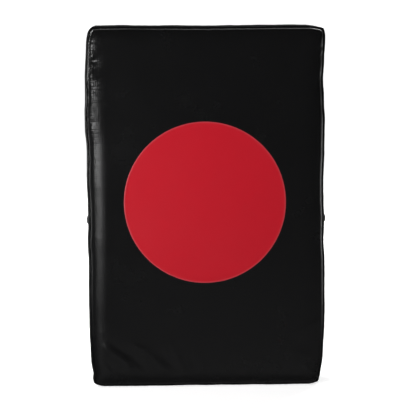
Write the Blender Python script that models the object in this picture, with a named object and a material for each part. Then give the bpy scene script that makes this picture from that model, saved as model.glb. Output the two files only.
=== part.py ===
"""Tackle shield: a boxed foam pad in a sewn vinyl cover, with a zip and webbing handles behind.

Metres, +Z up. The striking face looks along -Y and the handles stand out along +Y.
The origin is the centre of the flat bottom of the boxing strip, on which the shield stands.
"""

import math

import bmesh
import bpy
from mathutils import Matrix, Vector

# Overall size of the filled cover, without the piping and the handles
WIDTH = 0.402
HEIGHT = 0.610
DEPTH = 0.127

# Cover
VINYL = 0.0012
CLEARANCE = 0.0003
BOXING_BULGE = 0.0048
BOXING_ROLL = 0.011
TOP_CORNER = 0.013
BOTTOM_CORNER = 0.012
INNER_CORNER = 0.004
FACE_CROWN = 0.008
FACE_ROLL_WIDTH = 0.030
FACE_ROLL_DEPTH = 0.016
BACK_ROLL_WIDTH = 0.014
BACK_ROLL_DEPTH = 0.010
DRAW_IN = 0.009
DRAW_IN_HEIGHT = 0.110
DRAW_IN_POWER = 1.5
PIPING_RADIUS = 0.0023
LAP_HEIGHT = 0.278
LAP_OVERLAP = 0.010
LAP_STEP = 0.003

# Filling
STRIKE_FOAM_THICKNESS = 0.050

# Target
DISC_RADIUS = 0.135
DISC_THICKNESS = 0.0006
DISC_HEIGHT = 0.3155

# Zip across the lower back
ZIP_HEIGHT = 0.075
ZIP_SIDE_MARGIN = 0.024
ZIP_WINDOW = 0.018
TAPE_WIDTH = 0.016
TAPE_THICKNESS = 0.0008
TOOTH_PITCH = 0.0042
TOOTH_ROOT_WIDTH = 0.0009
TOOTH_TIP_WIDTH = 0.0022
TOOTH_THICKNESS = 0.0028
TOOTH_OVERREACH = 0.0018
CORD_START = 0.0034
CORD_END = 0.0046
SLIDER_CLEARANCE = 0.0004
SLIDER_LENGTH = 0.0165
SLIDER_TAIL_WIDTH = 0.0126
SLIDER_MOUTH_WIDTH = 0.0156
SLIDER_SHOULDER_SHARE = 0.42
SLIDER_NOSE_SHARE = 0.08
SLIDER_NOSE_WIDTH_SHARE = 0.8
SLIDER_PLATE = 0.0014
SLIDER_RIM = 0.0010
POST_LENGTH = 0.0034
POST_WIDTH = 0.0026
POST_SETBACK = 0.0046
BRIDGE_WIDTH = 0.0024
BRIDGE_THICKNESS = 0.0011
BRIDGE_BORE_RADIUS = 0.0033
BRIDGE_SHARE = 0.48
BRIDGE_STEPS = 8
PIN_RADIUS = 0.0008
PULL_LENGTH = 0.030
PULL_WIDTH = 0.0082
PULL_EYE_WIDTH = 0.0034
PULL_SHOULDER = 0.0010
PULL_NECK = 0.0050
PULL_NECK_SHARE = 0.72
PULL_END_STEPS = 6
STOP_LENGTH = 0.0032
STOP_INSET = 0.0030

# Handles
WEBBING = 0.0022
PATCH = 0.0014
PATCH_MARGIN = 0.009
PATCH_LENGTH = 0.046
HANDLE_HEIGHT = 0.335
FOREARM_STRAP_WIDTH = 0.050
FOREARM_EDGE_MARGIN = 0.067
FOREARM_LOOP_LENGTH = 0.170
FOREARM_LOOP_REACH = 0.062
HAND_STRAP_WIDTH = 0.025
HAND_STRAP_OFFSET = 0.046
HAND_LOOP_LENGTH = 0.156
HAND_LOOP_REACH = 0.048
LOOP_FULLNESS = 2.6
SLEEVE_LENGTH = 0.096
SLEEVE_WIDTH = 0.034
SLEEVE_THICKNESS = 0.017
SLEEVE_TAPER = 0.16

# Smoothness of the facets
CORNER_STEPS = 4
SHORT_SIDE_STEPS = 6
LOOP_STEPS = 18
ROLL_STEPS = 5
CROWN_STEPS = 5
PIPING_SIDES = 8
DISC_STEPS = 44
SLEEVE_STEPS = 10
SLEEVE_SIDES = 12
MITRE_LIMIT = 0.7
BOXING_SHARES = (0, 0.18, 0.5, 1)
DISC_SHARES = (1, 0.68, 0.34)
FOOT_SHARES = (0, 0.25, 0.5, 0.75)

# Planes that follow from the sizes above
SEAM_HALF_WIDTH = WIDTH / 2 - BOXING_BULGE
SEAM_BOTTOM = BOXING_BULGE
SEAM_TOP = HEIGHT - BOXING_BULGE
MIDDLE_HEIGHT = HEIGHT / 2
PIPING_OUTSET = PIPING_RADIUS - VINYL + CLEARANCE / 3
PIPING_ROOM = PIPING_RADIUS + 1.7 * CLEARANCE
FACE_EDGE_Y = -DEPTH / 2 + FACE_CROWN + FACE_ROLL_DEPTH
FRONT_SEAM_Y = FACE_EDGE_Y + PIPING_ROOM
BACK_Y = DEPTH / 2
BACK_EDGE_Y = BACK_Y - BACK_ROLL_DEPTH
BACK_SEAM_Y = BACK_EDGE_Y - PIPING_ROOM
BOXING_FRONT_Y = FRONT_SEAM_Y + PIPING_ROOM
BOXING_BACK_Y = BACK_SEAM_Y - PIPING_ROOM
FOAM_GAP = VINYL + CLEARANCE
GLUE_LINE_Y = -DEPTH / 2 + STRIKE_FOAM_THICKNESS
TAPE_Y = BACK_Y - VINYL - CLEARANCE - TAPE_THICKNESS / 2
TAPE_END_X = WIDTH / 2 - ZIP_SIDE_MARGIN
STOP_X = TAPE_END_X - STOP_INSET - STOP_LENGTH
SLIDER_FRONT_X = STOP_X - CLEARANCE
LAST_TOOTH_X = SLIDER_FRONT_X - POST_SETBACK - POST_LENGTH - SLIDER_CLEARANCE
HANDLE_Y = BACK_Y + CLEARANCE
FOREARM_STRAP_OFFSET = WIDTH / 2 - FOREARM_EDGE_MARGIN


def clear_scene():
    for thing in list(bpy.data.objects):
        bpy.data.objects.remove(thing, do_unlink=True)


def finish(name, colour, roughness, metallic=0.0):
    material = bpy.data.materials.new(name)
    material.use_nodes = True
    shader = material.node_tree.nodes["Principled BSDF"]
    shader.inputs["Base Color"].default_value = (*colour, 1.0)
    shader.inputs["Roughness"].default_value = roughness
    shader.inputs["Metallic"].default_value = metallic
    material.diffuse_color = (*colour, 1.0)
    return material


def add_object(name, bm, material=None, smooth_angle=None):
    """Make a scene object from a closed bmesh, with its faces turned outwards."""
    bmesh.ops.recalc_face_normals(bm, faces=bm.faces)
    mesh = bpy.data.meshes.new(name)
    bm.to_mesh(mesh)
    bm.free()
    thing = bpy.data.objects.new(name, mesh)
    bpy.context.scene.collection.objects.link(thing)
    if material is not None:
        mesh.materials.append(material)
    if smooth_angle is not None:
        mesh.shade_smooth()
        mesh.set_sharp_from_angle(angle=math.radians(smooth_angle))
    return thing


def boolean(thing, cutter, operation):
    cutter.hide_render = True
    cutter.display_type = "WIRE"
    modifier = thing.modifiers.new(f"{operation.lower()} {cutter.name}", "BOOLEAN")
    modifier.operation = operation
    modifier.solver = "EXACT"
    modifier.object = cutter


def bridge(bm, loops, closed_around=True):
    """Join each loop of vertices to the next with quads."""
    for low, high in zip(loops, loops[1:]):
        count = len(low)
        last = count if closed_around else count - 1
        for i in range(last):
            j = (i + 1) % count
            bm.faces.new((low[i], low[j], high[j], high[i]))


def prism(name, outline, axis, low, high, material=None):
    """Extrude a flat outline along X, Y or Z. Its points hold the other two axes, in X, Y, Z order."""
    bm = bmesh.new()
    ends = []
    for place in (low, high):
        loop = []
        for first, second in outline:
            point = [first, second]
            point.insert("XYZ".index(axis), place)
            loop.append(bm.verts.new(point))
        ends.append(loop)
    bm.faces.new(ends[0])
    bm.faces.new(ends[1])
    bridge(bm, ends)
    return add_object(name, bm, material)


def block(name, low, high, material=None):
    outline = [(low[1], low[2]), (high[1], low[2]), (high[1], high[2]), (low[1], high[2])]
    return prism(name, outline, "X", low[0], high[0], material)


def drawn_in(x, z):
    """The cover's sides pull in towards the bottom corners."""
    if z >= DRAW_IN_HEIGHT:
        return x
    share = 1 - z / DRAW_IN_HEIGHT
    return x * (1 - DRAW_IN / SEAM_HALF_WIDTH * share**DRAW_IN_POWER)


def side_shares():
    """Stations up a side, as shares of its straight length, closer together where it draws in."""
    low = SEAM_BOTTOM + BOTTOM_CORNER
    length = SEAM_TOP - TOP_CORNER - low
    lap = [(LAP_HEIGHT + step - low) / length for step in (0, LAP_OVERLAP, LAP_OVERLAP + LAP_STEP)]
    foot = [share * DRAW_IN_HEIGHT / length for share in FOOT_SHARES]
    return foot + [(foot[-1] + lap[0]) / 2] + lap + [(lap[-1] + 1) / 2, 1]


SIDE_SHARES = side_shares()
LAP_STATION = 5


def ring(inset):
    """The seam's outline, set in (or out, if negative), anticlockwise as seen from the front."""
    half = SEAM_HALF_WIDTH - inset
    low = SEAM_BOTTOM + inset
    high = SEAM_TOP - inset
    bottom_r = max(BOTTOM_CORNER - inset, INNER_CORNER)
    top_r = max(TOP_CORNER - inset, INNER_CORNER)
    points = []
    for i in range(1, SHORT_SIDE_STEPS):
        x = (half - bottom_r) * (2 * i / SHORT_SIDE_STEPS - 1)
        points.append((x, low))
    points += corner(half - bottom_r, low + bottom_r, bottom_r, -90)
    points += side(half, low + bottom_r, high - top_r, SIDE_SHARES)
    points += corner(half - top_r, high - top_r, top_r, 0)
    for i in range(1, SHORT_SIDE_STEPS):
        x = (half - top_r) * (1 - 2 * i / SHORT_SIDE_STEPS)
        points.append((x, high))
    points += corner(top_r - half, high - top_r, top_r, 90)
    points += reversed(side(-half, low + bottom_r, high - top_r, SIDE_SHARES))
    points += corner(bottom_r - half, low + bottom_r, bottom_r, 180)
    return [(drawn_in(x, z), z) for x, z in points]


def corner(x, z, radius, start):
    points = []
    for i in range(CORNER_STEPS + 1):
        angle = math.radians(start + 90 * i / CORNER_STEPS)
        points.append((x + radius * math.cos(angle), z + radius * math.sin(angle)))
    return points


def side(x, low, high, shares):
    return [(x, low + (high - low) * share) for share in shares[1:-1]]


RING_POINTS = len(ring(0))
RIGHT_SIDE_START = SHORT_SIDE_STEPS - 1 + CORNER_STEPS
LEFT_SIDE_END = RING_POINTS - 1


def crown(x, z):
    """How far the face swells forward, most in the middle and none at the seam."""
    across = 1 - (x / SEAM_HALF_WIDTH) ** 2
    upright = 1 - ((z - MIDDLE_HEIGHT) / (SEAM_TOP - MIDDLE_HEIGHT)) ** 2
    return FACE_CROWN * max(across, 0) * max(upright, 0)


def face_y(x, z):
    """The flat of the striking face, inside the rolled edge."""
    return FACE_EDGE_Y - FACE_ROLL_DEPTH - crown(x, z)


def face_loops(bm, offset):
    """Loops of the striking face from its sewn edge to a pole, set back by offset."""
    loops = []
    for i in range(ROLL_STEPS + 1):
        angle = math.pi / 2 * i / ROLL_STEPS
        inset = FACE_ROLL_WIDTH - (FACE_ROLL_WIDTH - offset) * math.cos(angle)
        fall = (FACE_ROLL_DEPTH - offset) * math.sin(angle)
        points = ring(inset)
        loops.append([bm.verts.new((x, FACE_EDGE_Y - fall - crown(x, z), z)) for x, z in points])
    flat = ring(FACE_ROLL_WIDTH)
    for i in range(1, CROWN_STEPS):
        share = 1 - i / CROWN_STEPS
        loop = []
        for x, z in flat:
            x *= share
            z = MIDDLE_HEIGHT + (z - MIDDLE_HEIGHT) * share
            loop.append(bm.verts.new((x, face_y(x, z) + offset, z)))
        loops.append(loop)
    pole = bm.verts.new((0, face_y(0, MIDDLE_HEIGHT) + offset, MIDDLE_HEIGHT))
    for i, vert in enumerate(loops[-1]):
        bm.faces.new((vert, loops[-1][(i + 1) % RING_POINTS], pole))
    bridge(bm, loops)
    return loops


def back_loops(bm, offset):
    """Loops of the back from its sewn edge to its flat, which is one face, set in by offset."""
    loops = []
    steps = ROLL_STEPS - 2
    for i in range(steps + 1):
        angle = math.pi / 2 * i / steps
        inset = BACK_ROLL_WIDTH - (BACK_ROLL_WIDTH - offset) * math.cos(angle)
        y = BACK_EDGE_Y + (BACK_ROLL_DEPTH - offset) * math.sin(angle)
        loops.append([bm.verts.new((x, y, z)) for x, z in ring(inset)])
    bridge(bm, loops)
    bm.faces.new(loops[-1])
    return loops


def boxing_profile():
    """How far the boxing strip bulges past the seams, from the front seam to the back one."""
    profile = []
    for share in BOXING_SHARES:
        rise = math.sqrt(1 - (1 - share) ** 2)
        profile.append((BOXING_FRONT_Y + BOXING_ROLL * share, BOXING_BULGE * rise))
    mirrored = [(BOXING_FRONT_Y + BOXING_BACK_Y - y, out) for y, out in reversed(profile)]
    return profile + mirrored


def add_front_panel(material):
    bm = bmesh.new()
    outer = face_loops(bm, 0)
    inner = face_loops(bm, VINYL)
    bridge(bm, [outer[0], inner[0]])
    return add_object("front_panel", bm, material, 40)


def add_strike_foam(material):
    bm = bmesh.new()
    face = face_loops(bm, FOAM_GAP)
    stack = [face[0]]
    for y, out in boxing_profile():
        if y < GLUE_LINE_Y:
            stack.append([bm.verts.new((x, y, z)) for x, z in ring(FOAM_GAP - out)])
    level = ring(FOAM_GAP - BOXING_BULGE)
    stack.append([bm.verts.new((x, GLUE_LINE_Y, z)) for x, z in level])
    bridge(bm, stack)
    bm.faces.new(stack[-1])
    return add_object("strike_foam", bm, material, 40)


def add_core_foam(material):
    bm = bmesh.new()
    level = ring(FOAM_GAP - BOXING_BULGE)
    stack = [[bm.verts.new((x, GLUE_LINE_Y + CLEARANCE, z)) for x, z in level]]
    bm.faces.new(stack[0])
    for y, out in boxing_profile():
        if y > GLUE_LINE_Y + CLEARANCE:
            stack.append([bm.verts.new((x, y, z)) for x, z in ring(FOAM_GAP - out)])
    back = back_loops(bm, FOAM_GAP)
    stack.append(back[0])
    bridge(bm, stack)
    foam = add_object("core_foam", bm, material, 40)
    bed_half = ZIP_WINDOW / 2
    reach = CORD_END + TAPE_WIDTH + 2 * CLEARANCE
    end = TAPE_END_X + 2 * CLEARANCE
    tape_back = TAPE_Y - TAPE_THICKNESS / 2 - CLEARANCE
    slider_back = TAPE_Y - TOOTH_THICKNESS / 2 - SLIDER_CLEARANCE - SLIDER_PLATE
    tape_bed = block(
        "tape_bed_cutter",
        (-end, tape_back, ZIP_HEIGHT - reach),
        (end, BACK_Y, ZIP_HEIGHT + reach),
    )
    slider_bed = block(
        "slider_bed_cutter",
        (-end, slider_back - 2 * CLEARANCE, ZIP_HEIGHT - bed_half),
        (end, BACK_Y, ZIP_HEIGHT + bed_half),
    )
    boolean(foam, tape_bed, "DIFFERENCE")
    boolean(foam, slider_bed, "DIFFERENCE")
    return foam


def add_back_panels(material):
    """The back is two lengths of vinyl: they meet at the zip, which shows in a window between them."""
    window_end = TAPE_END_X - STOP_INSET / 2
    window = block(
        "zip_window_cutter",
        (-window_end, BACK_EDGE_Y, ZIP_HEIGHT - ZIP_WINDOW / 2),
        (window_end, BACK_Y + VINYL, ZIP_HEIGHT + ZIP_WINDOW / 2),
    )
    spare = 0.01
    below = block(
        "below_zip_cutter",
        (-WIDTH, -DEPTH, -spare),
        (WIDTH, DEPTH, ZIP_HEIGHT + CLEARANCE / 2),
    )
    above = block(
        "above_zip_cutter",
        (-WIDTH, -DEPTH, ZIP_HEIGHT - CLEARANCE / 2),
        (WIDTH, DEPTH, HEIGHT + spare),
    )
    for name, cutter in (("back_panel", below), ("back_strip", above)):
        bm = bmesh.new()
        outer = back_loops(bm, 0)
        inner = back_loops(bm, VINYL)
        bridge(bm, [outer[0], inner[0]])
        panel = add_object(name, bm, material, 40)
        boolean(panel, cutter, "DIFFERENCE")
        boolean(panel, window, "DIFFERENCE")


def add_boxing(name, stations, lapped, material):
    """A strip of vinyl along part of the outline. A lapped strip steps out over the other's ends."""
    bm = bmesh.new()
    lift = VINYL + CLEARANCE
    rows = []
    for y, out in boxing_profile():
        outer_row = []
        inner_row = []
        for place, station in enumerate(stations):
            from_end = min(place, len(stations) - 1 - place)
            raised = lift if lapped and from_end < 2 else 0
            x, z = ring(-out - raised)[station]
            outer_row.append(bm.verts.new((x, y, z)))
            x, z = ring(VINYL - out - raised)[station]
            inner_row.append(bm.verts.new((x, y, z)))
        rows.append((outer_row, inner_row))
    bridge(bm, [outer for outer, _ in rows], closed_around=False)
    bridge(bm, [inner for _, inner in rows], closed_around=False)
    for outer, inner in (rows[0], rows[-1]):
        bridge(bm, [outer, inner], closed_around=False)
    for end in (0, -1):
        bridge(
            bm,
            [[outer[end] for outer, _ in rows], [inner[end] for _, inner in rows]],
            closed_around=False,
        )
    return add_object(name, bm, material, 40)


def boxing_stations():
    """Station numbers of the upper strip and of the lower one, which ends under the lap."""
    right_lap = RIGHT_SIDE_START + LAP_STATION
    left_lap = LEFT_SIDE_END - CORNER_STEPS - LAP_STATION
    upper = list(range(right_lap, left_lap + 1))
    lower = list(range(left_lap - 1, RING_POINTS)) + list(range(right_lap + 2))
    return upper, lower


def add_piping(name, y, material):
    """A closed bead along a seam, swept as sections square to the outline."""
    bm = bmesh.new()
    path = [Vector((x, y, z)) for x, z in ring(-PIPING_OUTSET)]
    count = len(path)
    sections = []
    for i, centre in enumerate(path):
        before = (centre - path[i - 1]).normalized()
        after = (path[(i + 1) % count] - centre).normalized()
        along = (before + after).normalized()
        outward = Vector((along.z, 0, -along.x)) / max(along.dot(after), MITRE_LIMIT)
        section = []
        for k in range(PIPING_SIDES):
            angle = 2 * math.pi * (k + 0.5) / PIPING_SIDES
            lift = outward * math.cos(angle) + Vector((0, 1, 0)) * math.sin(angle)
            section.append(bm.verts.new(centre + lift * PIPING_RADIUS))
        sections.append(section)
    sections.append(sections[0])
    bridge(bm, sections)
    return add_object(name, bm, material, 60)


def add_target_disc(material):
    bm = bmesh.new()
    sides = []
    for back_off in (CLEARANCE + DISC_THICKNESS, CLEARANCE):
        loops = []
        for share in DISC_SHARES:
            loop = []
            for i in range(DISC_STEPS):
                angle = 2 * math.pi * i / DISC_STEPS
                x = DISC_RADIUS * share * math.cos(angle)
                z = DISC_HEIGHT + DISC_RADIUS * share * math.sin(angle)
                loop.append(bm.verts.new((x, face_y(x, z) - back_off, z)))
            loops.append(loop)
        pole = bm.verts.new((0, face_y(0, DISC_HEIGHT) - back_off, DISC_HEIGHT))
        bridge(bm, loops)
        for i, vert in enumerate(loops[-1]):
            bm.faces.new((vert, loops[-1][(i + 1) % DISC_STEPS], pole))
        sides.append(loops[0])
    bridge(bm, sides)
    return add_object("target_disc", bm, material, 40)


def add_zip_tapes(material):
    inner_edge = CORD_END + CLEARANCE
    for name, sign in (("zip_tape_upper", 1), ("zip_tape_lower", -1)):
        edges = sorted(ZIP_HEIGHT + sign * far for far in (inner_edge, inner_edge + TAPE_WIDTH))
        block(
            name,
            (-TAPE_END_X, TAPE_Y - TAPE_THICKNESS / 2, edges[0]),
            (TAPE_END_X, TAPE_Y + TAPE_THICKNESS / 2, edges[1]),
            material,
        )


def add_zip_teeth(material):
    """Two combs on their cords. Each tooth widens to its tip, so the rows lock into each other."""
    cord_end = STOP_X - CLEARANCE
    room = LAST_TOOTH_X + cord_end - TOOTH_TIP_WIDTH
    for name, sign in (("zip_teeth_upper", 1), ("zip_teeth_lower", -1)):
        last = LAST_TOOTH_X - TOOTH_TIP_WIDTH / 2 - (TOOTH_PITCH / 2 if sign > 0 else 0)
        count = int(room / TOOTH_PITCH)
        outline = [(-cord_end, sign * CORD_END), (-cord_end, sign * CORD_START)]
        for i in reversed(range(count)):
            x = last - i * TOOTH_PITCH
            outline += [
                (x - TOOTH_ROOT_WIDTH / 2, sign * CORD_START),
                (x - TOOTH_TIP_WIDTH / 2, -sign * TOOTH_OVERREACH),
                (x + TOOTH_TIP_WIDTH / 2, -sign * TOOTH_OVERREACH),
                (x + TOOTH_ROOT_WIDTH / 2, sign * CORD_START),
            ]
        outline += [(cord_end, sign * CORD_START), (cord_end, sign * CORD_END)]
        outline = [(x, ZIP_HEIGHT + z) for x, z in outline]
        half = TOOTH_THICKNESS / 2
        prism(name, outline, "Y", TAPE_Y - half, TAPE_Y + half, material)


def slider_outline():
    """The slider's plate, seen from behind: a blunt wedge, widest at the mouth."""
    front = SLIDER_FRONT_X
    tail = front - SLIDER_LENGTH
    half_tail = SLIDER_TAIL_WIDTH / 2
    half_mouth = SLIDER_MOUTH_WIDTH / 2
    nose_half = half_mouth * SLIDER_NOSE_WIDTH_SHARE
    shoulder = front - SLIDER_LENGTH * SLIDER_SHOULDER_SHARE
    nose = front - SLIDER_LENGTH * SLIDER_NOSE_SHARE
    return [
        (tail, ZIP_HEIGHT - half_tail),
        (shoulder, ZIP_HEIGHT - half_tail),
        (nose, ZIP_HEIGHT - half_mouth),
        (front, ZIP_HEIGHT - nose_half),
        (front, ZIP_HEIGHT + nose_half),
        (nose, ZIP_HEIGHT + half_mouth),
        (shoulder, ZIP_HEIGHT + half_tail),
        (tail, ZIP_HEIGHT + half_tail),
    ]


def add_zip_slider(material):
    front = SLIDER_FRONT_X
    tooth_half = TOOTH_THICKNESS / 2
    outer_low = TAPE_Y + tooth_half + SLIDER_CLEARANCE
    outer_high = outer_low + SLIDER_PLATE
    inner_high = TAPE_Y - tooth_half - SLIDER_CLEARANCE
    inner_low = inner_high - SLIDER_PLATE
    slider = prism("zip_slider", slider_outline(), "Y", outer_low, outer_high, material)
    inner = prism("slider_inner_plate", slider_outline(), "Y", inner_low, inner_high)
    boolean(slider, inner, "UNION")
    post_front = front - POST_SETBACK
    post = prism(
        "slider_post",
        [
            (post_front, ZIP_HEIGHT),
            (post_front - POST_LENGTH / 2, ZIP_HEIGHT - POST_WIDTH / 2),
            (post_front - POST_LENGTH, ZIP_HEIGHT),
            (post_front - POST_LENGTH / 2, ZIP_HEIGHT + POST_WIDTH / 2),
        ],
        "Y",
        inner_high - SLIDER_PLATE / 2,
        outer_low + SLIDER_PLATE / 2,
    )
    boolean(slider, post, "UNION")
    tape_face = TAPE_THICKNESS / 2 + CLEARANCE
    rim_end = front - SLIDER_LENGTH * SLIDER_SHOULDER_SHARE
    for sign in (-1, 1):
        edges = sorted(
            ZIP_HEIGHT + sign * (SLIDER_TAIL_WIDTH / 2 - far) for far in (CLEARANCE / 3, SLIDER_RIM)
        )
        spans = ((TAPE_Y + tape_face, outer_low + SLIDER_PLATE / 2),
                 (inner_high - SLIDER_PLATE / 2, TAPE_Y - tape_face))
        for k, (low, high) in enumerate(spans):
            rim = block(
                f"slider_rim_{sign}_{k}",
                (front - SLIDER_LENGTH + CLEARANCE / 3, low, edges[0]),
                (rim_end, high, edges[1]),
            )
            boolean(slider, rim, "UNION")
    boolean(slider, slider_bridge(outer_high), "UNION")
    return slider


def pin_place():
    """Centre of the pull's pin under the slider's bridge."""
    plate_top = TAPE_Y + TOOTH_THICKNESS / 2 + SLIDER_CLEARANCE + SLIDER_PLATE
    x = SLIDER_FRONT_X - SLIDER_LENGTH * BRIDGE_SHARE
    return x, plate_top + PIN_RADIUS + SLIDER_CLEARANCE, ZIP_HEIGHT


def slider_bridge(plate_top):
    """A half round arch over the pull's pin, with its feet sunk in the plate."""
    x, y, _ = pin_place()
    foot = plate_top - SLIDER_PLATE / 2
    outer_r = BRIDGE_BORE_RADIUS + BRIDGE_THICKNESS
    outline = [(x - outer_r, foot)]
    for i in range(BRIDGE_STEPS + 1):
        angle = math.pi - math.pi * i / BRIDGE_STEPS
        outline.append((x + outer_r * math.cos(angle), y + outer_r * math.sin(angle)))
    outline += [(x + outer_r, foot), (x + BRIDGE_BORE_RADIUS, foot)]
    for i in range(BRIDGE_STEPS + 1):
        angle = math.pi * i / BRIDGE_STEPS
        r = BRIDGE_BORE_RADIUS
        outline.append((x + r * math.cos(angle), y + r * math.sin(angle)))
    outline.append((x - BRIDGE_BORE_RADIUS, foot))
    half = BRIDGE_WIDTH / 2
    return prism("slider_bridge", outline, "Z", ZIP_HEIGHT - half, ZIP_HEIGHT + half)


def add_zip_pull(material):
    """A tab with an eye round the bridge. It lies back over the closed chain."""
    x, y, z = pin_place()
    outer_r = BRIDGE_BORE_RADIUS + BRIDGE_THICKNESS
    waist = outer_r + SLIDER_CLEARANCE
    half = PULL_WIDTH / 2
    neck = half * PULL_NECK_SHARE
    shoulder_x = x - waist - PULL_SHOULDER
    neck_x = x - waist - PULL_NECK
    round_x = x - PULL_LENGTH
    outline = [(x, z - half), (x, z + half), (shoulder_x, z + half), (neck_x, z + neck)]
    for i in range(PULL_END_STEPS + 1):
        angle = math.pi / 2 + math.pi * i / PULL_END_STEPS
        outline.append((round_x + half * math.cos(angle), z + half * math.sin(angle)))
    outline += [(neck_x, z - neck), (shoulder_x, z - half)]
    pull = prism("zip_pull", outline, "Y", y - PIN_RADIUS, y + PIN_RADIUS, material)
    eye = block(
        "pull_eye_cutter",
        (x - waist, y - 2 * PIN_RADIUS, z - PULL_EYE_WIDTH / 2),
        (x + PIN_RADIUS, y + 2 * PIN_RADIUS, z + PULL_EYE_WIDTH / 2),
    )
    boolean(pull, eye, "DIFFERENCE")
    bm = bmesh.new()
    turn = Matrix.Translation((x, y, z))
    bmesh.ops.create_cone(
        bm,
        cap_ends=True,
        segments=16,
        radius1=PIN_RADIUS,
        radius2=PIN_RADIUS,
        depth=PULL_WIDTH,
        matrix=turn,
    )
    boolean(pull, add_object("pull_pin", bm), "UNION")
    return pull


def add_zip_stops(material):
    """Two small stops past the closed slider, and one box that joins the tapes at the other end."""
    half = TOOTH_THICKNESS / 2
    for name, sign in (("zip_stop_upper", 1), ("zip_stop_lower", -1)):
        edges = sorted(ZIP_HEIGHT + sign * far for far in (CORD_START, CORD_END))
        low = (STOP_X, TAPE_Y - half, edges[0])
        block(name, low, (STOP_X + STOP_LENGTH, TAPE_Y + half, edges[1]), material)
    low = (-STOP_X - STOP_LENGTH, TAPE_Y - half, ZIP_HEIGHT - CORD_END)
    block("zip_end_stop", low, (-STOP_X, TAPE_Y + half, ZIP_HEIGHT + CORD_END), material)


def loop_path(length, reach, thickness):
    """Centre line of a sewn-down handle, as (y, z) from the lower foot to the upper one."""
    path = []
    for i in range(LOOP_STEPS + 1):
        share = (1 - math.cos(math.pi * i / LOOP_STEPS)) / 2
        rise = reach * (1 - abs(2 * share - 1) ** LOOP_FULLNESS)
        z = HANDLE_HEIGHT + length * (share - 0.5)
        path.append(Vector((HANDLE_Y + thickness / 2 + rise, z)))
    return path


def ribbon_outline(path, thickness):
    """Both faces of a ribbon of even thickness about a centre line."""
    near, far = [], []
    for i, point in enumerate(path):
        before = path[max(i - 1, 0)]
        after = path[min(i + 1, len(path) - 1)]
        along = (after - before).normalized()
        across = Vector((along.y, -along.x)) * thickness / 2
        far.append(point + across)
        near.append(point - across)
    return [tuple(p) for p in far] + [tuple(p) for p in reversed(near)]


def with_tails(path, tail):
    low = Vector((path[0].x, path[0].y - tail))
    high = Vector((path[-1].x, path[-1].y + tail))
    inner_low = Vector((path[0].x, path[0].y - WEBBING))
    inner_high = Vector((path[-1].x, path[-1].y + WEBBING))
    return [low, inner_low] + path + [inner_high, high]


def add_strap(name, x, width, length, reach, material):
    tail = PATCH_LENGTH - PATCH_MARGIN + 2 * WEBBING
    path = with_tails(loop_path(length, reach, WEBBING), tail)
    return prism(name, ribbon_outline(path, WEBBING), "X", x - width / 2, x + width / 2, material)


def add_patches(name, x, width, length, material):
    """Vinyl patches over the sewn ends: each is a hat that rises over the webbing."""
    top = HANDLE_Y + WEBBING + CLEARANCE
    half = width / 2 + CLEARANCE
    slope = WEBBING
    outer = width / 2 + PATCH_MARGIN
    under = [(-outer, HANDLE_Y), (-half - slope, HANDLE_Y), (-half, top)]
    under += [(half, top), (half + slope, HANDLE_Y), (outer, HANDLE_Y)]
    over = [(outer, HANDLE_Y + PATCH), (half + slope + PATCH / 2, HANDLE_Y + PATCH)]
    over += [(half + PATCH / 2, top + PATCH), (-half - PATCH / 2, top + PATCH)]
    over += [(-half - slope - PATCH / 2, HANDLE_Y + PATCH), (-outer, HANDLE_Y + PATCH)]
    outline = [(x + across, y) for across, y in under + over]
    foot = length / 2 + 2 * WEBBING
    for end, sign in (("upper", 1), ("lower", -1)):
        edges = sorted(HANDLE_HEIGHT + sign * far for far in (foot, foot + PATCH_LENGTH))
        prism(f"{name}_{end}", outline, "Z", edges[0], edges[1], material)


def add_sleeve(name, x, material):
    """An oval foam grip that follows the hand strap, with a slot for the webbing."""
    path = loop_path(HAND_LOOP_LENGTH, HAND_LOOP_REACH, WEBBING)
    bm = bmesh.new()
    low = HANDLE_HEIGHT - SLEEVE_LENGTH / 2
    loops = []
    for i in range(SLEEVE_STEPS + 1):
        z = low + SLEEVE_LENGTH * i / SLEEVE_STEPS
        share = (z - HANDLE_HEIGHT) / HAND_LOOP_LENGTH
        y = HANDLE_Y + WEBBING / 2 + HAND_LOOP_REACH * (1 - abs(2 * share) ** LOOP_FULLNESS)
        taper = 1 - SLEEVE_TAPER * abs(2 * i / SLEEVE_STEPS - 1) ** 4
        lean = Vector((0, loop_slope(share), 1)).normalized()
        away = Vector((0, lean.z, -lean.y))
        loop = []
        for k in range(SLEEVE_SIDES):
            angle = 2 * math.pi * (k + 0.5) / SLEEVE_SIDES
            across = Vector((1, 0, 0)) * math.cos(angle) * SLEEVE_WIDTH / 2
            out = away * math.sin(angle) * SLEEVE_THICKNESS / 2
            loop.append(bm.verts.new(Vector((x, y, z)) + (across + out) * taper))
        loops.append(loop)
    bridge(bm, loops)
    bm.faces.new(loops[0])
    bm.faces.new(loops[-1])
    sleeve = add_object(name, bm, material, 50)
    half = HAND_STRAP_WIDTH / 2 + CLEARANCE
    outline = ribbon_outline(path, WEBBING + 2 * CLEARANCE)
    slot = prism(f"{name}_slot_cutter", outline, "X", x - half, x + half)
    boolean(sleeve, slot, "DIFFERENCE")
    return sleeve


def loop_slope(share):
    """Slope dy/dz of the hand strap's centre line at a share of its length from the middle."""
    sign = 1 if share > 0 else -1
    steep = LOOP_FULLNESS * abs(2 * share) ** (LOOP_FULLNESS - 1) * 2 / HAND_LOOP_LENGTH
    return -sign * HAND_LOOP_REACH * steep


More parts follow.
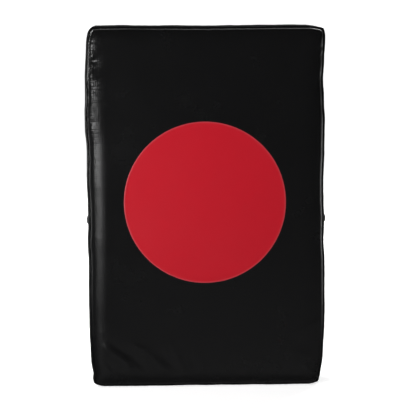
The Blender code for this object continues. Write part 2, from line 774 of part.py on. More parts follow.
def add_handles(webbing, vinyl, grip):
    for side_name, sign in (("left", -1), ("right", 1)):
        x = sign * FOREARM_STRAP_OFFSET
        add_strap(
            f"forearm_strap_{side_name}", x, FOREARM_STRAP_WIDTH,
            FOREARM_LOOP_LENGTH, FOREARM_LOOP_REACH, webbing,
        )
        add_patches(
            f"forearm_patch_{side_name}", x, FOREARM_STRAP_WIDTH, FOREARM_LOOP_LENGTH, vinyl
        )
        x = sign * HAND_STRAP_OFFSET
        add_strap(
            f"hand_strap_{side_name}", x, HAND_STRAP_WIDTH,
            HAND_LOOP_LENGTH, HAND_LOOP_REACH, webbing,
        )
        add_patches(f"hand_patch_{side_name}", x, HAND_STRAP_WIDTH, HAND_LOOP_LENGTH, vinyl)
        add_sleeve(f"grip_sleeve_{side_name}", x, grip)


def main():
    clear_scene()
    vinyl = finish("black vinyl", (0.012, 0.012, 0.013), 0.38)
    piping = finish("black piping", (0.016, 0.016, 0.017), 0.32)
    red = finish("red vinyl", (0.47, 0.014, 0.024), 0.42)
    soft_foam = finish("soft foam", (0.72, 0.70, 0.62), 0.95)
    firm_foam = finish("firm foam", (0.20, 0.21, 0.23), 0.95)
    webbing = finish("black webbing", (0.015, 0.015, 0.016), 0.8)
    tape = finish("zip tape", (0.014, 0.014, 0.015), 0.85)
    teeth = finish("moulded teeth", (0.022, 0.022, 0.024), 0.4)
    metal = finish("nickel plate", (0.62, 0.62, 0.60), 0.25, 1.0)
    grip = finish("grip foam", (0.02, 0.02, 0.021), 0.7)
    add_front_panel(vinyl)
    add_target_disc(red)
    add_strike_foam(soft_foam)
    add_core_foam(firm_foam)
    upper, lower = boxing_stations()
    add_boxing("boxing_upper", upper, True, vinyl)
    add_boxing("boxing_lower", lower, False, vinyl)
    add_piping("piping_front", FRONT_SEAM_Y, piping)
    add_piping("piping_back", BACK_SEAM_Y, piping)
    add_back_panels(vinyl)
    add_zip_tapes(tape)
    add_zip_teeth(teeth)
    add_zip_slider(metal)
    add_zip_pull(metal)
    add_zip_stops(metal)
    add_handles(webbing, vinyl, grip)


main()
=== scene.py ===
"""Looks of the tackle shield: the sewn vinyl cover, its target, zip, webbing handles and studio."""

import math

import bmesh
import bpy
import numpy as np
from mathutils import Matrix, Vector, noise
from mathutils.bvhtree import BVHTree


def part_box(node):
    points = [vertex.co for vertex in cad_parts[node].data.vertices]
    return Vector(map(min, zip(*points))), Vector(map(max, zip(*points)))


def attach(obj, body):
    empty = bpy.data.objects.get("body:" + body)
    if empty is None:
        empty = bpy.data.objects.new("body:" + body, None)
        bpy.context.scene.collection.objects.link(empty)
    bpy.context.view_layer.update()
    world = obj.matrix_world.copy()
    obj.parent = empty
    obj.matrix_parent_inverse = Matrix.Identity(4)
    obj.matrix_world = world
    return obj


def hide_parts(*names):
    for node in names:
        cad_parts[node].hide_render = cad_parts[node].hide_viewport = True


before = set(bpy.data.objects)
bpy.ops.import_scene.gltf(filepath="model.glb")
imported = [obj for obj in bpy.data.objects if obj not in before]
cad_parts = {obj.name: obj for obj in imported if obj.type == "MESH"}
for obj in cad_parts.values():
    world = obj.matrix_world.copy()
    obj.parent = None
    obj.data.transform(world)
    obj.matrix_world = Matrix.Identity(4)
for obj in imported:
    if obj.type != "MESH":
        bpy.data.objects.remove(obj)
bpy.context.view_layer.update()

MM = 0.001
RIGHT, BACKWARD, UP = Vector((1, 0, 0)), Vector((0, 1, 0)), Vector((0, 0, 1))

# Places taken from the frame
FACE_LOW, FACE_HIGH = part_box("front_panel")
BACK_LOW, BACK_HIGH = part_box("back_panel")
PIPE_LOW, PIPE_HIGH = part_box("piping_front")
BACK_PIPE_LOW, BACK_PIPE_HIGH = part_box("piping_back")
UPPER_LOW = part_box("boxing_upper")[0]
LOWER_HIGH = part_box("boxing_lower")[1]
DISC_LOW, DISC_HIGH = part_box("target_disc")
TAPE_LOW, TAPE_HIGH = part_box("zip_tape_upper")
TAPE_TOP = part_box("zip_tape_lower")[1]
SLIDER_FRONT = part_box("zip_slider")[1].x
GLUE_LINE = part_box("strike_foam")[1].y
SEAM_HALF, SEAM_LOW, SEAM_HIGH = FACE_HIGH.x, FACE_LOW.z, FACE_HIGH.z
MIDDLE = (SEAM_LOW + SEAM_HIGH) / 2
FRONT_SEAM = (PIPE_LOW.y + PIPE_HIGH.y) / 2
BACK_SEAM = (BACK_PIPE_LOW.y + BACK_PIPE_HIGH.y) / 2
BACK_FLAT = BACK_HIGH.y
BULGE = LOWER_HIGH.x - SEAM_HALF
LAP_LOW = UPPER_LOW.z
LAP_HIGH = LOWER_HIGH.z
ZIP_LINE = (TAPE_LOW.z + TAPE_TOP.z) / 2
TAPE_MIDDLE = (TAPE_LOW.y + TAPE_HIGH.y) / 2

# Sizes of the cover, the zip and the handles
TOP_CORNER = 13 * MM
BOTTOM_CORNER = 12 * MM
CROWN = 8 * MM
FACE_ROLL = (30 * MM, 16 * MM)
TIGHT_ROLL = 6 * MM
BACK_ROLL = (14 * MM, 10 * MM)
BOXING_ROLL = 11 * MM
DRAW_IN = 9 * MM
DRAW_IN_HEIGHT = 110 * MM
VINYL = 1.2 * MM
GROUND = 0.2 * MM  # the lowest that a soft piece reaches
DISC_ASIDE = -2.6 * MM
DISC_RIM = 0.984  # where its pressed rim starts, as a share of its radius
TUCK = 2.6 * MM  # how far a panel runs into its seam
LAP_STAND = 2.4 * MM  # how far the upper strip's end stands off at the lap
PIPE_OUTSET = 1.2 * MM
PIPE_RADIUS = 2.35 * MM
WINDOW_HALF = 9 * MM
WINDOW_END = TAPE_HIGH.x - 1.5 * MM
HEM = 7.5 * MM
HEM_FOLD = 1.5 * MM
TOOTH_PITCH = 4.2 * MM
TEETH = 79
EDGE_CORD = 4.05 * MM
WEBBING = 2.2 * MM
HANDLE_Y = BACK_FLAT + 0.3 * MM
HANDLE_MIDDLE = 335 * MM
SEWN_TAIL = 41.4 * MM
LOOP_POWER = 2.6  # how square a loop is: 2 for an arch
CUPPING = 0.5 * MM  # how far a loop's edges turn in
SLEEVE_HALF = 48 * MM
PATCH = 1.4 * MM
PATCH_CORNER = 5 * MM
SEWN_STEP = 3.2 * MM

# How far each side of the filled cover pulls in, as (height, inset) in mm
LEFT_WAVE = [
    (0, 7.2), (1.7, 6.2), (5.1, 1.4), (10.2, -1.5), (16, -0.3), (21, 1.1), (30, 0.6), (43, 0), (77, 0.9),
    (111, 2.2), (145, 1.4), (213, 2.2), (247, 1), (286, 2), (315, 1.7), (349, 0.3), (400, 1.2),
    (443, -1.4), (465, -1.8), (485, -0.3), (519, 0), (553, 1.7), (577, 2.6), (600, 4.6),
]
RIGHT_WAVE = [
    (0, 6), (3, 6.2), (7.5, 0.6), (12, 2), (25, 1.2), (43, 0.1), (77, 0.9), (145, 0.2), (213, 0.3),
    (247, 2), (286, 1.1), (315, 2.2), (349, 2.5), (400, 0.7), (451, 0), (485, 1.5), (519, 2.9), (553, 1),
    (590, -0.5),
]
# How far the top edge sags, as (x, sag) in mm. It is drawn up where negative
TOP_SAG = [
    (-200, -2), (-192, -1.2), (-184, 0), (-145, -0.2), (-75, 0.6), (0, 1.3), (75, 1.1), (145, 0.9),
    (172, 0.9), (186, 2.5), (197, 1.9),
]
# How far the end of the upper strip stands off at the lap, row by row from its end
LAP_FLARE = (0.5, 1.0, 0.85, 0.15)
# How nearly square each corner is, across and upright, from 0 for round to 1
SQUARE = {"left low": (0.75, 0.1), "right low": (0.35, 0.0),
          "left high": (0.1, 0.1), "right high": (0.5, 0.3)}


# Tools for making a mesh

def put(name, data):
    thing = bpy.data.objects.new(name, data)
    bpy.context.scene.collection.objects.link(thing)
    return thing


def mode(name):
    bpy.ops.object.mode_set(mode=name)


def take(*things):
    """Select these objects alone, and make the first one active."""
    for thing in list(bpy.context.selected_objects):
        thing.select_set(False)
    for thing in things:
        thing.select_set(True)
    bpy.context.view_layer.objects.active = things[0] if things else None


def edit(thing, *steps):
    """Run mesh operators on all of an object's mesh."""
    take(thing)
    mode("EDIT")
    bpy.ops.mesh.select_all(action="SELECT")
    for step in steps:
        step()
    mode("OBJECT")


def modify(thing, kind, **settings):
    """Add a modifier and apply it."""
    take(thing)
    modifier = thing.modifiers.new(kind, kind)
    for key, value in settings.items():
        setattr(modifier, key, value)
    bpy.ops.object.modifier_apply(modifier=modifier.name)


def add_grid(name, across, along):
    """A flat grid of square cells, to be shaped: its points run from 0 to 1 both ways."""
    take()
    bpy.ops.mesh.primitive_grid_add(x_subdivisions=across, y_subdivisions=along, size=1)
    thing = bpy.context.object
    thing.name = name
    for vert in thing.data.vertices:
        vert.co = (vert.co.x + 0.5, vert.co.y + 0.5, 0)
    return thing


def lay_out(thing, widths, lengths):
    """Give a grid a UV map in metres, from the running lengths of its columns and rows."""
    layer = thing.data.uv_layers[0]
    flat = np.empty(len(layer.data) * 2)
    layer.data.foreach_get("uv", flat)
    uv = flat.reshape(-1, 2)
    uv[:, 0] = np.interp(uv[:, 0], np.linspace(0, 1, len(widths)), widths)
    uv[:, 1] = np.interp(uv[:, 1], np.linspace(0, 1, len(lengths)), lengths)
    layer.data.foreach_set("uv", uv.ravel())


def shape(thing, place):
    """Move each point of a grid to where place(u, v) says."""
    for vert in thing.data.vertices:
        vert.co = place(vert.co.x, vert.co.y)
    thing.data.update()


def coordinates(thing, label="co"):
    flat = np.empty(len(thing.data.vertices) * 3)
    thing.data.vertices.foreach_get(label, flat)
    return flat.reshape(-1, 3)


def set_coordinates(thing, points):
    thing.data.vertices.foreach_set("co", points.ravel())
    thing.data.update()


def normals(thing):
    return coordinates(thing, "normal")


def weld(thing):
    edit(thing, lambda: bpy.ops.mesh.remove_doubles(threshold=0.00001),
         lambda: bpy.ops.mesh.normals_make_consistent(inside=False))


def turn_out(thing):
    """Point an open sheet's faces away from the middle of the shield."""
    total = 0.0
    for face in thing.data.polygons:
        total += face.normal.dot(face.center - Vector((0, 0, MIDDLE))) * face.area
    if total < 0:
        edit(thing, bpy.ops.mesh.flip_normals)


def subdivide(thing):
    modify(thing, "SUBSURF", levels=1, render_levels=1, boundary_smooth="PRESERVE_CORNERS")


def thicken(thing, thickness):
    """Give a sheet its thickness on the inner side, which closes it."""
    modify(thing, "SOLIDIFY", thickness=thickness, offset=-1, use_even_offset=False)


def bevel(thing, width, segments=2, angle=35):
    modify(thing, "BEVEL", width=width, segments=segments, limit_method="ANGLE",
           angle_limit=math.radians(angle))


def smooth(thing, angle=60):
    take(thing)
    bpy.ops.object.shade_smooth_by_angle(angle=math.radians(angle))


def ripple(point, size, seed=0):
    return noise.noise(Vector(point) / size + Vector((seed * 17.3, seed * 5.1, seed * 9.7)))


def ramp(value, start, end):
    """0 at start and 1 at end, eased between them."""
    share = min(max((value - start) / (end - start), 0.0), 1.0)
    return share * share * (3 - 2 * share)


def sweep(name, frames, outline_at, closed=False):
    """A tube along frames of (centre, across, out), with its own outline at each, and a UV map."""
    sides = len(outline_at(0))
    rows = len(frames) if closed else len(frames) - 1
    tube = add_grid(name, sides, rows)
    rim = outline_at(len(frames) // 2)
    widths = [0.0]
    for k in range(sides):
        widths.append(widths[-1] + math.dist(rim[k], rim[(k + 1) % sides]))
    lengths = [0.0]
    for i in range(rows):
        lengths.append(lengths[-1] + (frames[(i + 1) % len(frames)][0] - frames[i][0]).length)
    lay_out(tube, widths, lengths)
    rings = [outline_at(i) for i in range(len(frames))]

    def place(u, v):
        i = round(v * rows) % len(frames)
        a, b = rings[i][round(u * sides) % sides]
        centre, across, out = frames[i]
        return centre + across * a + out * b

    shape(tube, place)
    weld(tube)
    return tube


def capped(frames, sizes):
    """Close a tube at both ends, with a ring of no size at each."""
    return [frames[0]] + frames + [frames[-1]], [0.0] + sizes + [0.0]


def rounded_strip(width, thickness, flat_points=5):
    """Outline of a ribbon with rounded edges."""
    r = thickness / 2
    points = []
    for sign in (1, -1):
        for k in range(flat_points):
            points.append((sign * (width / 2 - r) * (2 * k / (flat_points - 1) - 1), sign * r))
        for angle in (45, 0, -45):
            turn = math.radians(angle)
            points.append((sign * (width / 2 - r + r * math.cos(turn)), sign * r * math.sin(turn)))
    return points


def circle(count):
    return [(math.cos(2 * math.pi * k / count), math.sin(2 * math.pi * k / count)) for k in range(count)]


def scaled(points, share):
    return [(a * share, b * share) for a, b in points]


def closed_tube(name, frames, outline):
    """A tube of one outline, closed at both ends."""
    frames, sizes = capped(frames, [1.0] * len(frames))
    return sweep(name, frames, lambda i: scaled(outline, sizes[i]))


def copies(name, source, places):
    """One mesh made of a copy of source at each matrix in places. The source is then removed."""
    joined = bmesh.new()
    for place in places:
        before = len(joined.verts)
        joined.from_mesh(source.data)
        joined.verts.ensure_lookup_table()
        bmesh.ops.transform(joined, matrix=place, verts=joined.verts[before:])
    mesh = bpy.data.meshes.new(name)
    joined.to_mesh(mesh)
    joined.free()
    for material in source.data.materials:
        mesh.materials.append(material)
    thing = put(name, mesh)
    bpy.data.objects.remove(source)
    return thing


def copy_of_node(node_name, name, bevel_width):
    """A copy of a CAD node's mesh, merged, with its edges softened."""
    thing = put(name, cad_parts[node_name].data.copy())
    edit(thing, lambda: bpy.ops.mesh.remove_doubles(threshold=0.000005),
         lambda: bpy.ops.mesh.dissolve_limited(angle_limit=math.radians(2)))
    bevel(thing, bevel_width)
    return thing


def surface_of(*things):
    """A ray casting tree of the finished meshes."""
    verts, faces = [], []
    for thing in things:
        start = len(verts)
        verts += [v.co.copy() for v in thing.data.vertices]
        faces += [[start + i for i in p.vertices] for p in thing.data.polygons]
    return BVHTree.FromPolygons(verts, faces)


def place_of(node_name):
    """Corners of a node's box, and its middle across and up."""
    low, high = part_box(node_name)
    return low, high, (low.x + high.x) / 2, (low.z + high.z) / 2


# Outline of the cover

def wave_at(wave, place):
    """The value of a wave at a place, both in metres. Its table is in mm."""
    place /= MM
    for (low, first), (high, second) in zip(wave, wave[1:]):
        if place < high:
            return (first + (second - first) * ramp(place, low, high)) * MM
    return wave[-1][1] * MM


def corner(angle, sign, end):
    """A point on the unit arc of a corner, angle degrees of turn up from the side, made squarer."""
    across, upright = SQUARE[f"{'left' if sign < 0 else 'right'} {end}"]
    c, s = math.cos(angle), math.sin(angle)
    far = max(c, s)
    return c + (c / far - c) * across, s + (s / far - s) * upright


def drawn_in(x, z):
    pull = wave_at(LEFT_WAVE if x < 0 else RIGHT_WAVE, z)
    if z < DRAW_IN_HEIGHT:
        pull += DRAW_IN * (1 - max(z, 0) / DRAW_IN_HEIGHT) ** 1.5
    sag = wave_at(TOP_SAG, x) * ramp(z, 0.50, 0.59)
    return x * (1 - pull / SEAM_HALF), z - sag


def on_side(inset_x, inset_z, side, along):
    """A point on the outline, set in by the insets. along runs from -1 to 1 between the corners."""
    half = SEAM_HALF - inset_x
    low = SEAM_LOW + inset_z
    high = SEAM_HIGH - inset_z
    inset = min(inset_x, inset_z)
    low_r = max(BOTTOM_CORNER - inset, 0.5 * MM)
    high_r = max(TOP_CORNER - inset, 0.5 * MM)
    if side in ("left", "right"):
        arcs = (low_r * math.pi / 4, high_r * math.pi / 4)
        straight = high - high_r - low - low_r
        far = (along + 1) / 2 * (arcs[0] + straight + arcs[1])
        sign = -1 if side == "left" else 1
        if far < arcs[0]:
            out, rise = corner(math.pi / 4 - far / low_r, sign, "low")
            x, z = half - low_r + low_r * out, low + low_r - low_r * rise
        elif far > arcs[0] + straight:
            out, rise = corner((far - arcs[0] - straight) / high_r, sign, "high")
            x, z = half - high_r + high_r * out, high - high_r + high_r * rise
        else:
            x, z = half, low + low_r + far - arcs[0]
        x *= sign
    else:
        r = high_r if side == "top" else low_r
        arc = r * math.pi / 4
        straight = 2 * (half - r)
        far = abs(along) * (arc + straight / 2)
        if far < straight / 2:
            x, rise = far, 0
        else:
            angle = (far - straight / 2) / r
            out, up = corner(math.pi / 2 - angle, along, "high" if side == "top" else "low")
            x, rise = half - r + r * out, r - r * up
        x = math.copysign(x, along)
        z = high - rise if side == "top" else low + rise
    return drawn_in(x, z)


def walk_along(stretches):
    """Steps (side, share) along stretches of the outline, each given as side, start, end and count."""
    walk = []
    for side, start, end, count in stretches:
        walk += [(side, start + (end - start) * i / count) for i in range(count)]
    return walk


def side_share(z):
    """Where a height lies along a side of the outline, from -1 to 1."""
    low_arc, high_arc = BOTTOM_CORNER * math.pi / 4, TOP_CORNER * math.pi / 4
    straight = SEAM_HIGH - TOP_CORNER - SEAM_LOW - BOTTOM_CORNER
    far = low_arc + z - SEAM_LOW - BOTTOM_CORNER
    return 2 * far / (low_arc + straight + high_arc) - 1


def crown(x, z):
    across = 1 - (x / SEAM_HALF) ** 2
    upright = 1 - ((z - MIDDLE) / (SEAM_HIGH - MIDDLE)) ** 2
    return CROWN * max(across, 0) * max(upright, 0)


def roll_length(roll):
    return math.pi / 2 * math.sqrt((roll[0] ** 2 + roll[1] ** 2) / 2)


def roll_profile(far, roll):
    """(inset, fall) at a distance round a rolled edge from its seam, starting in the tuck."""
    if far < TUCK:
        share = far / TUCK
        return 2.2 * MM * (1 - share) ** 2, -TUCK * (1 - share)
    angle = min((far - TUCK) / roll_length(roll), 1) * math.pi / 2
    inset = roll[0] * (1 - math.cos(angle)) + max(far - TUCK - roll_length(roll), 0)
    return inset, roll[1] * math.sin(angle)


def add_panel(name, across, along, roll, depth_at, inward=0.0):
    """A panel of the cover with rolled edges, as a grid whose rings follow the outline."""
    thing = add_grid(name, across, along)
    edge = TUCK + roll_length(roll)
    cell = (2 * (SEAM_HALF - roll[0]) + 2 * edge) / across
    rings = edge / cell
    spare_x = (SEAM_HALF - roll[0] - inward) / (across / 2 - rings)
    spare_z = ((SEAM_HIGH - SEAM_LOW) / 2 - roll[0] - inward) / (along / 2 - rings)

    def place(u, v):
        i, j = round(u * across), round(v * along)
        k = min(i, j, across - i, along - j)
        inset, fall = roll_profile(min(k * cell, edge), roll)
        inset_x = inward + inset + max(k - rings, 0) * spare_x
        inset_z = inward + inset + max(k - rings, 0) * spare_z
        if k in (i, across - i) and along > 2 * k:
            side = "left" if k == i and i <= across / 2 else "right"
            x, z = on_side(inset_x, inset_z, side, 2 * (j - k) / (along - 2 * k) - 1)
        else:
            side = "bottom" if k == j and j <= along / 2 else "top"
            share = 2 * (i - k) / (across - 2 * k) - 1 if across > 2 * k else 0.0
            x, z = on_side(inset_x, inset_z, side, share)
        return x, depth_at(x, z, fall), z

    shape(thing, place)
    return thing


# Wrinkles

def distance_to_route(x, z, route):
    """For each point, its distance to a route and how far along the route it lies, from 0 to 1."""
    best = np.full(x.shape, 1e9)
    along = np.zeros(x.shape)
    lengths = [math.dist(a, b) for a, b in zip(route, route[1:])]
    total = sum(lengths)
    start = 0.0
    for (ax, az), (bx, bz), length in zip(route, route[1:], lengths):
        dx, dz = (bx - ax) / length, (bz - az) / length
        t = np.clip((x - ax) * dx + (z - az) * dz, 0, length)
        far = np.hypot(x - ax - t * dx, z - az - t * dz)
        nearer = far < best
        best = np.where(nearer, far, best)
        along = np.where(nearer, (start + t) / total, along)
        start += length
    return best, along


def add_folds(x, z, folds):
    """Sum of soft ridges and valleys. Each fold is a height, a half width and a route, in mm."""
    total = np.zeros(x.shape)
    for height, width, route in folds:
        far, along = distance_to_route(x, z, scaled(route, MM))
        ends = np.clip(np.minimum(along, 1 - along) * 5, 0, 1) ** 0.7
        total += height * MM * ends / (1 + (far / (width * MM)) ** 2) ** 1.5
    return total


DRAPE_FOLDS = [
    (1.5, 7, [(-176.8, 76.5), (-164, 66.3), (-149, 56.1), (-137, 45.9), (-125.5, 25.5), (-122, 8)]),
    (-1.3, 7, [(-164.9, 83.3), (-145.5, 66.3), (-127, 56.1), (-107, 35.7), (-95.2, 18.7)]),
    (-1.3, 4, [(-171.7, 51), (-163.2, 39.1), (-154.7, 25.5), (-147.9, 15.3), (-144.5, 6.8)]),
    (1.1, 6, [(-140, 83), (-106, 66), (-88, 49), (-72, 32), (-64, 11)]),
    (-1, 6, [(-84, 65), (-63, 44), (-44, 21)]),
    (0.9, 3.5, [(-64, 84), (-54, 62), (-46, 43), (-31, 14)]),
    (-0.8, 4, [(-33, 62), (-21, 32), (-11, 13)]),
    (0.7, 4, [(-17, 62), (-5, 22)]),
    (0.5, 5, [(193, 113), (162, 101), (144, 86)]),
    (-1, 6, [(166, 84), (157, 60)]),
    (-0.8, 5, [(137, 60), (123, 24)]),
    (0.9, 4, [(172, 60), (163, 28)]),
    (0.6, 3, [(25.5, 46), (26, 26)]),
    (0.6, 3, [(66, 34), (67, 14)]),
]
CORNER_FOLDS = [
    (-0.5, 3, [(-186, 598), (-185, 565)]),
    (0.35, 3, [(-194, 492), (-160, 487)]),
    (-0.5, 3, [(-194, 484), (-165, 481)]),
    (0.8, 3, [(195, 600), (188, 570)]),
    (1.4, 4, [(188, 5), (175, 26), (166, 40)]),
    (-1.2, 4, [(190, 18), (180, 36)]),
    (-0.5, 3, [(-182, 12), (-172, 20)]),
    (1, 3, [(-194.5, 563), (-184.5, 557)]),
    (-1, 3, [(-195, 557), (-183, 551)]),
    (1.1, 3, [(-194, 551), (-182.5, 545)]),
    (-0.9, 3, [(-194.5, 544), (-185, 538)]),
    (0.8, 3, [(-193.5, 538), (-186, 532)]),
]
BACK_FOLDS = [
    (-1.6, 7, [(-186, 585), (-160, 545), (-150, 500)]),
    (-1.2, 6, [(-170, 595), (-130, 560), (-100, 540)]),
    (-1.5, 7, [(186, 588), (166, 550), (158, 505)]),
    (-1.1, 6, [(165, 597), (120, 556)]),
    (-1.3, 8, [(-90, 492), (-50, 530), (10, 556)]),
    (-1.2, 8, [(88, 486), (60, 520), (30, 570)]),
    (-1.4, 7, [(-182, 180), (-150, 150), (-120, 112)]),
    (-1.2, 7, [(184, 190), (160, 150), (100, 118)]),
    (-1, 8, [(-80, 205), (-40, 160), (20, 130)]),
    (-1, 6, [(0, 420), (4, 330), (-4, 250)]),
    (-0.9, 5, [(-90, 420), (-88, 340), (-93, 260)]),
    (-0.9, 5, [(90, 415), (87, 330), (92, 255)]),
    (-1.1, 5, [(-180, 20), (-150, 40), (-100, 42)]),
    (-1.1, 5, [(178, 18), (140, 36), (80, 34)]),
]


def seam_distance(x, z):
    return np.minimum(SEAM_HALF - np.abs(x), np.minimum(z - SEAM_LOW, SEAM_HIGH - z))


def shoulder_puckers(points):
    """Gathers that run in from the left seam, over the upper half of the face."""
    out = np.zeros(len(points))
    for i, (x, _, z) in enumerate(points):
        inward = x + SEAM_HALF
        height = ramp(z, 0.385, 0.435) * ramp(z, 0.545, 0.515)
        if inward > 0.075 or height == 0:
            continue
        reach = math.exp(-max(inward - 6 * MM, 0) / (17 * MM))
        fine = ripple((x * 0.25, 0, z), 8 * MM, 72)
        broad = ripple((x * 0.4, 0, z), 21 * MM, 73)
        out[i] = (0.35 * fine + 0.8 * broad) * MM * height * reach
    return out


def mark_gathers(thing, points):
    """How finely crinkled the vinyl is at each point, for its finish to read."""
    layer = thing.data.attributes.new("gathered", "FLOAT", "POINT")
    values = []
    for x, _, z in points:
        inward = x + SEAM_HALF
        run = ramp(z, 0.33, 0.45) * ramp(z, 0.60, 0.56)
        run *= math.exp(-max(inward - 8 * MM, 0) / (9 * MM))
        knot = math.exp(-((x + 0.191) / 0.005) ** 2 - ((z - 0.548) / 0.011) ** 2)
        values.append(min(0.5 * run + 1.1 * knot, 1.3))
    layer.data.foreach_set("value", values)


def puckers(points, far, size, reach, seed):
    """Small gathers square to a seam, which fade with the distance from it."""
    out = np.zeros(len(points))
    for i in np.nonzero(far < reach * 3.5)[0]:
        x, _, z = points[i]
        wave = ripple((x, 0.0, z), size, seed) + 0.6 * ripple((x, 0.0, z), size * 0.45, seed + 3)
        patch = 0.55 + 0.9 * ripple((x, 0.0, z), size * 9, seed + 5)
        out[i] = wave * max(patch, 0.05) * math.exp(-max(far[i], 0) / reach)
    return out


# Finishes

def new_group(name, inputs, outputs):
    group = bpy.data.node_groups.new(name, "ShaderNodeTree")
    for label, kind, value in inputs:
        socket = group.interface.new_socket(label, in_out="INPUT", socket_type=kind)
        if value is not None:
            socket.default_value = value
    for label in outputs:
        group.interface.new_socket(label, in_out="OUTPUT", socket_type="NodeSocketFloat")
    return group, group.nodes.new("NodeGroupInput"), group.nodes.new("NodeGroupOutput")


def add_node(tree, kind, **values):
    made = tree.nodes.new(kind)
    for key, value in values.items():
        made.inputs[key].default_value = value
    return made


def add_noise(tree, vector, scale, detail=3.0, roughness=0.6):
    made = add_node(tree, "ShaderNodeTexNoise", Detail=detail, Roughness=roughness)
    if isinstance(scale, float):
        made.inputs["Scale"].default_value = scale
    else:
        tree.links.new(scale, made.inputs["Scale"])
    tree.links.new(vector, made.inputs["Vector"])
    return made.outputs[0]


def parts_of(tree, vector):
    split = tree.nodes.new("ShaderNodeSeparateXYZ")
    tree.links.new(vector, split.inputs[0])
    return split.outputs


def maths(tree, operation, *values, clamp=False):
    made = tree.nodes.new("ShaderNodeMath")
    made.operation = operation
    made.use_clamp = clamp
    for place, value in enumerate(values):
        if isinstance(value, (int, float)):
            made.inputs[place].default_value = value
        else:
            tree.links.new(value, made.inputs[place])
    return made.outputs[0]


def build_grain():
    """Calender grain of coated vinyl: small pebbles with fine creases between them."""
    group, entry, leave = new_group(
        "vinyl grain",
        [("Vector", "NodeSocketVector", None), ("Scale", "NodeSocketFloat", 900.0)],
        ["Height", "Patch"],
    )
    place = entry.outputs["Vector"]
    cells = add_node(group, "ShaderNodeTexVoronoi")
    cells.feature = "SMOOTH_F1"
    group.links.new(place, cells.inputs["Vector"])
    group.links.new(entry.outputs["Scale"], cells.inputs["Scale"])
    fine = add_noise(group, place, maths(group, "MULTIPLY", entry.outputs["Scale"], 0.45))
    pebble = maths(group, "MULTIPLY", cells.outputs["Distance"], -1.0)
    group.links.new(maths(group, "MULTIPLY_ADD", fine, 0.7, pebble), leave.inputs["Height"])
    group.links.new(add_noise(group, place, 14.0, 4.0), leave.inputs["Patch"])
    return group


def build_crinkle():
    """Fine creases where the vinyl is gathered at a seam, and the backing cloth that shows through."""
    group, entry, leave = new_group("gathered vinyl", [("Vector", "NodeSocketVector", None)], ["Height"])
    stretch = group.nodes.new("ShaderNodeVectorMath")
    stretch.operation = "MULTIPLY"
    stretch.inputs[1].default_value = (0.35, 0.35, 1.0)
    group.links.new(entry.outputs["Vector"], stretch.inputs[0])
    ridges = add_noise(group, stretch.outputs[0], 185.0, 1.0, 0.4)
    gathered = group.nodes.new("ShaderNodeAttribute")
    gathered.attribute_name = "gathered"
    creases = maths(group, "MULTIPLY", ridges, gathered.outputs["Fac"])
    place = parts_of(group, entry.outputs["Vector"])
    turns = 2 * math.pi / (3.4 * MM)
    down, across = (maths(group, "SINE", maths(group, "MULTIPLY", place[i], turns)) for i in (2, 0))
    cloth = maths(group, "MULTIPLY_ADD", across, 0.6, down)
    patches = maths(group, "MULTIPLY", add_noise(group, entry.outputs["Vector"], 11.0, 3.0), 0.004)
    shown = maths(group, "MULTIPLY_ADD", gathered.outputs["Fac"], 0.035, patches)
    group.links.new(maths(group, "MULTIPLY_ADD", cloth, shown, creases), leave.inputs["Height"])
    return group


def build_wear():
    """Dust and light scuffs: specks, and soft drifts."""
    group, entry, leave = new_group(
        "dust and scuffs",
        [("Vector", "NodeSocketVector", None), ("Amount", "NodeSocketFloat", 0.3)],
        ["Mask"],
    )
    place = entry.outputs["Vector"]
    specks = maths(group, "GREATER_THAN", add_noise(group, place, 420.0, 2.0, 0.5), 0.66)
    drifts = maths(group, "SUBTRACT", add_noise(group, place, 7.0, 5.0, 0.65), 0.42)
    both = maths(group, "MULTIPLY_ADD", specks, 0.5, maths(group, "MULTIPLY", drifts, 1.2))
    used = maths(group, "MULTIPLY", both, entry.outputs["Amount"], clamp=True)
    group.links.new(used, leave.inputs["Mask"])
    return group


def build_weave():
    """Warp and weft of webbing or tape, laid out in metres along the piece's own UV map. Its Shade is
    painted shade: pale on the yarn crowns and dark between the yarns.
    """
    group, entry, leave = new_group(
        "webbing weave",
        [("Vector", "NodeSocketVector", None), ("Warp", "NodeSocketFloat", 0.0016),
         ("Weft", "NodeSocketFloat", 0.0022)],
        ["Height", "Shade"],
    )
    place = parts_of(group, entry.outputs["Vector"])
    across = maths(group, "DIVIDE", place[0], entry.outputs["Warp"])
    shift = maths(group, "MULTIPLY", maths(group, "MODULO", maths(group, "FLOOR", across), 2.0), 0.5)
    along = maths(group, "ADD", maths(group, "DIVIDE", place[1], entry.outputs["Weft"]), shift)
    ribs = maths(group, "ABSOLUTE", maths(group, "SINE", maths(group, "MULTIPLY", across, math.pi)))
    floats = maths(group, "ABSOLUTE", maths(group, "SINE", maths(group, "MULTIPLY", along, math.pi)))
    body = maths(group, "MULTIPLY", maths(group, "POWER", ribs, 0.6), maths(group, "POWER", floats, 0.5))
    fibre = add_noise(group, entry.outputs["Vector"], 2600.0, 2.0)
    group.links.new(maths(group, "MULTIPLY_ADD", fibre, 0.25, body), leave.inputs["Height"])
    # Shade: painted shade of the weave, dark between the yarns and pale on their crowns; it also sets the
    # roughness
    group.links.new(maths(group, "MULTIPLY_ADD", body, 0.6, 0.4), leave.inputs["Shade"])
    return group


GRAIN = build_grain()
CRINKLE = build_crinkle()
WEAR = build_wear()
WEAVE = build_weave()


def new_material(name, coordinate="Object"):
    made = bpy.data.materials.new(name)
    made.use_nodes = True
    tree = made.node_tree
    place = tree.nodes.new("ShaderNodeTexCoord").outputs[coordinate]
    return made, tree, tree.nodes["Principled BSDF"], place


def use_group(tree, group, vector, **values):
    made = tree.nodes.new("ShaderNodeGroup")
    made.node_tree = group
    for key, value in values.items():
        made.inputs[key].default_value = value
    tree.links.new(vector, made.inputs["Vector"])
    return made.outputs


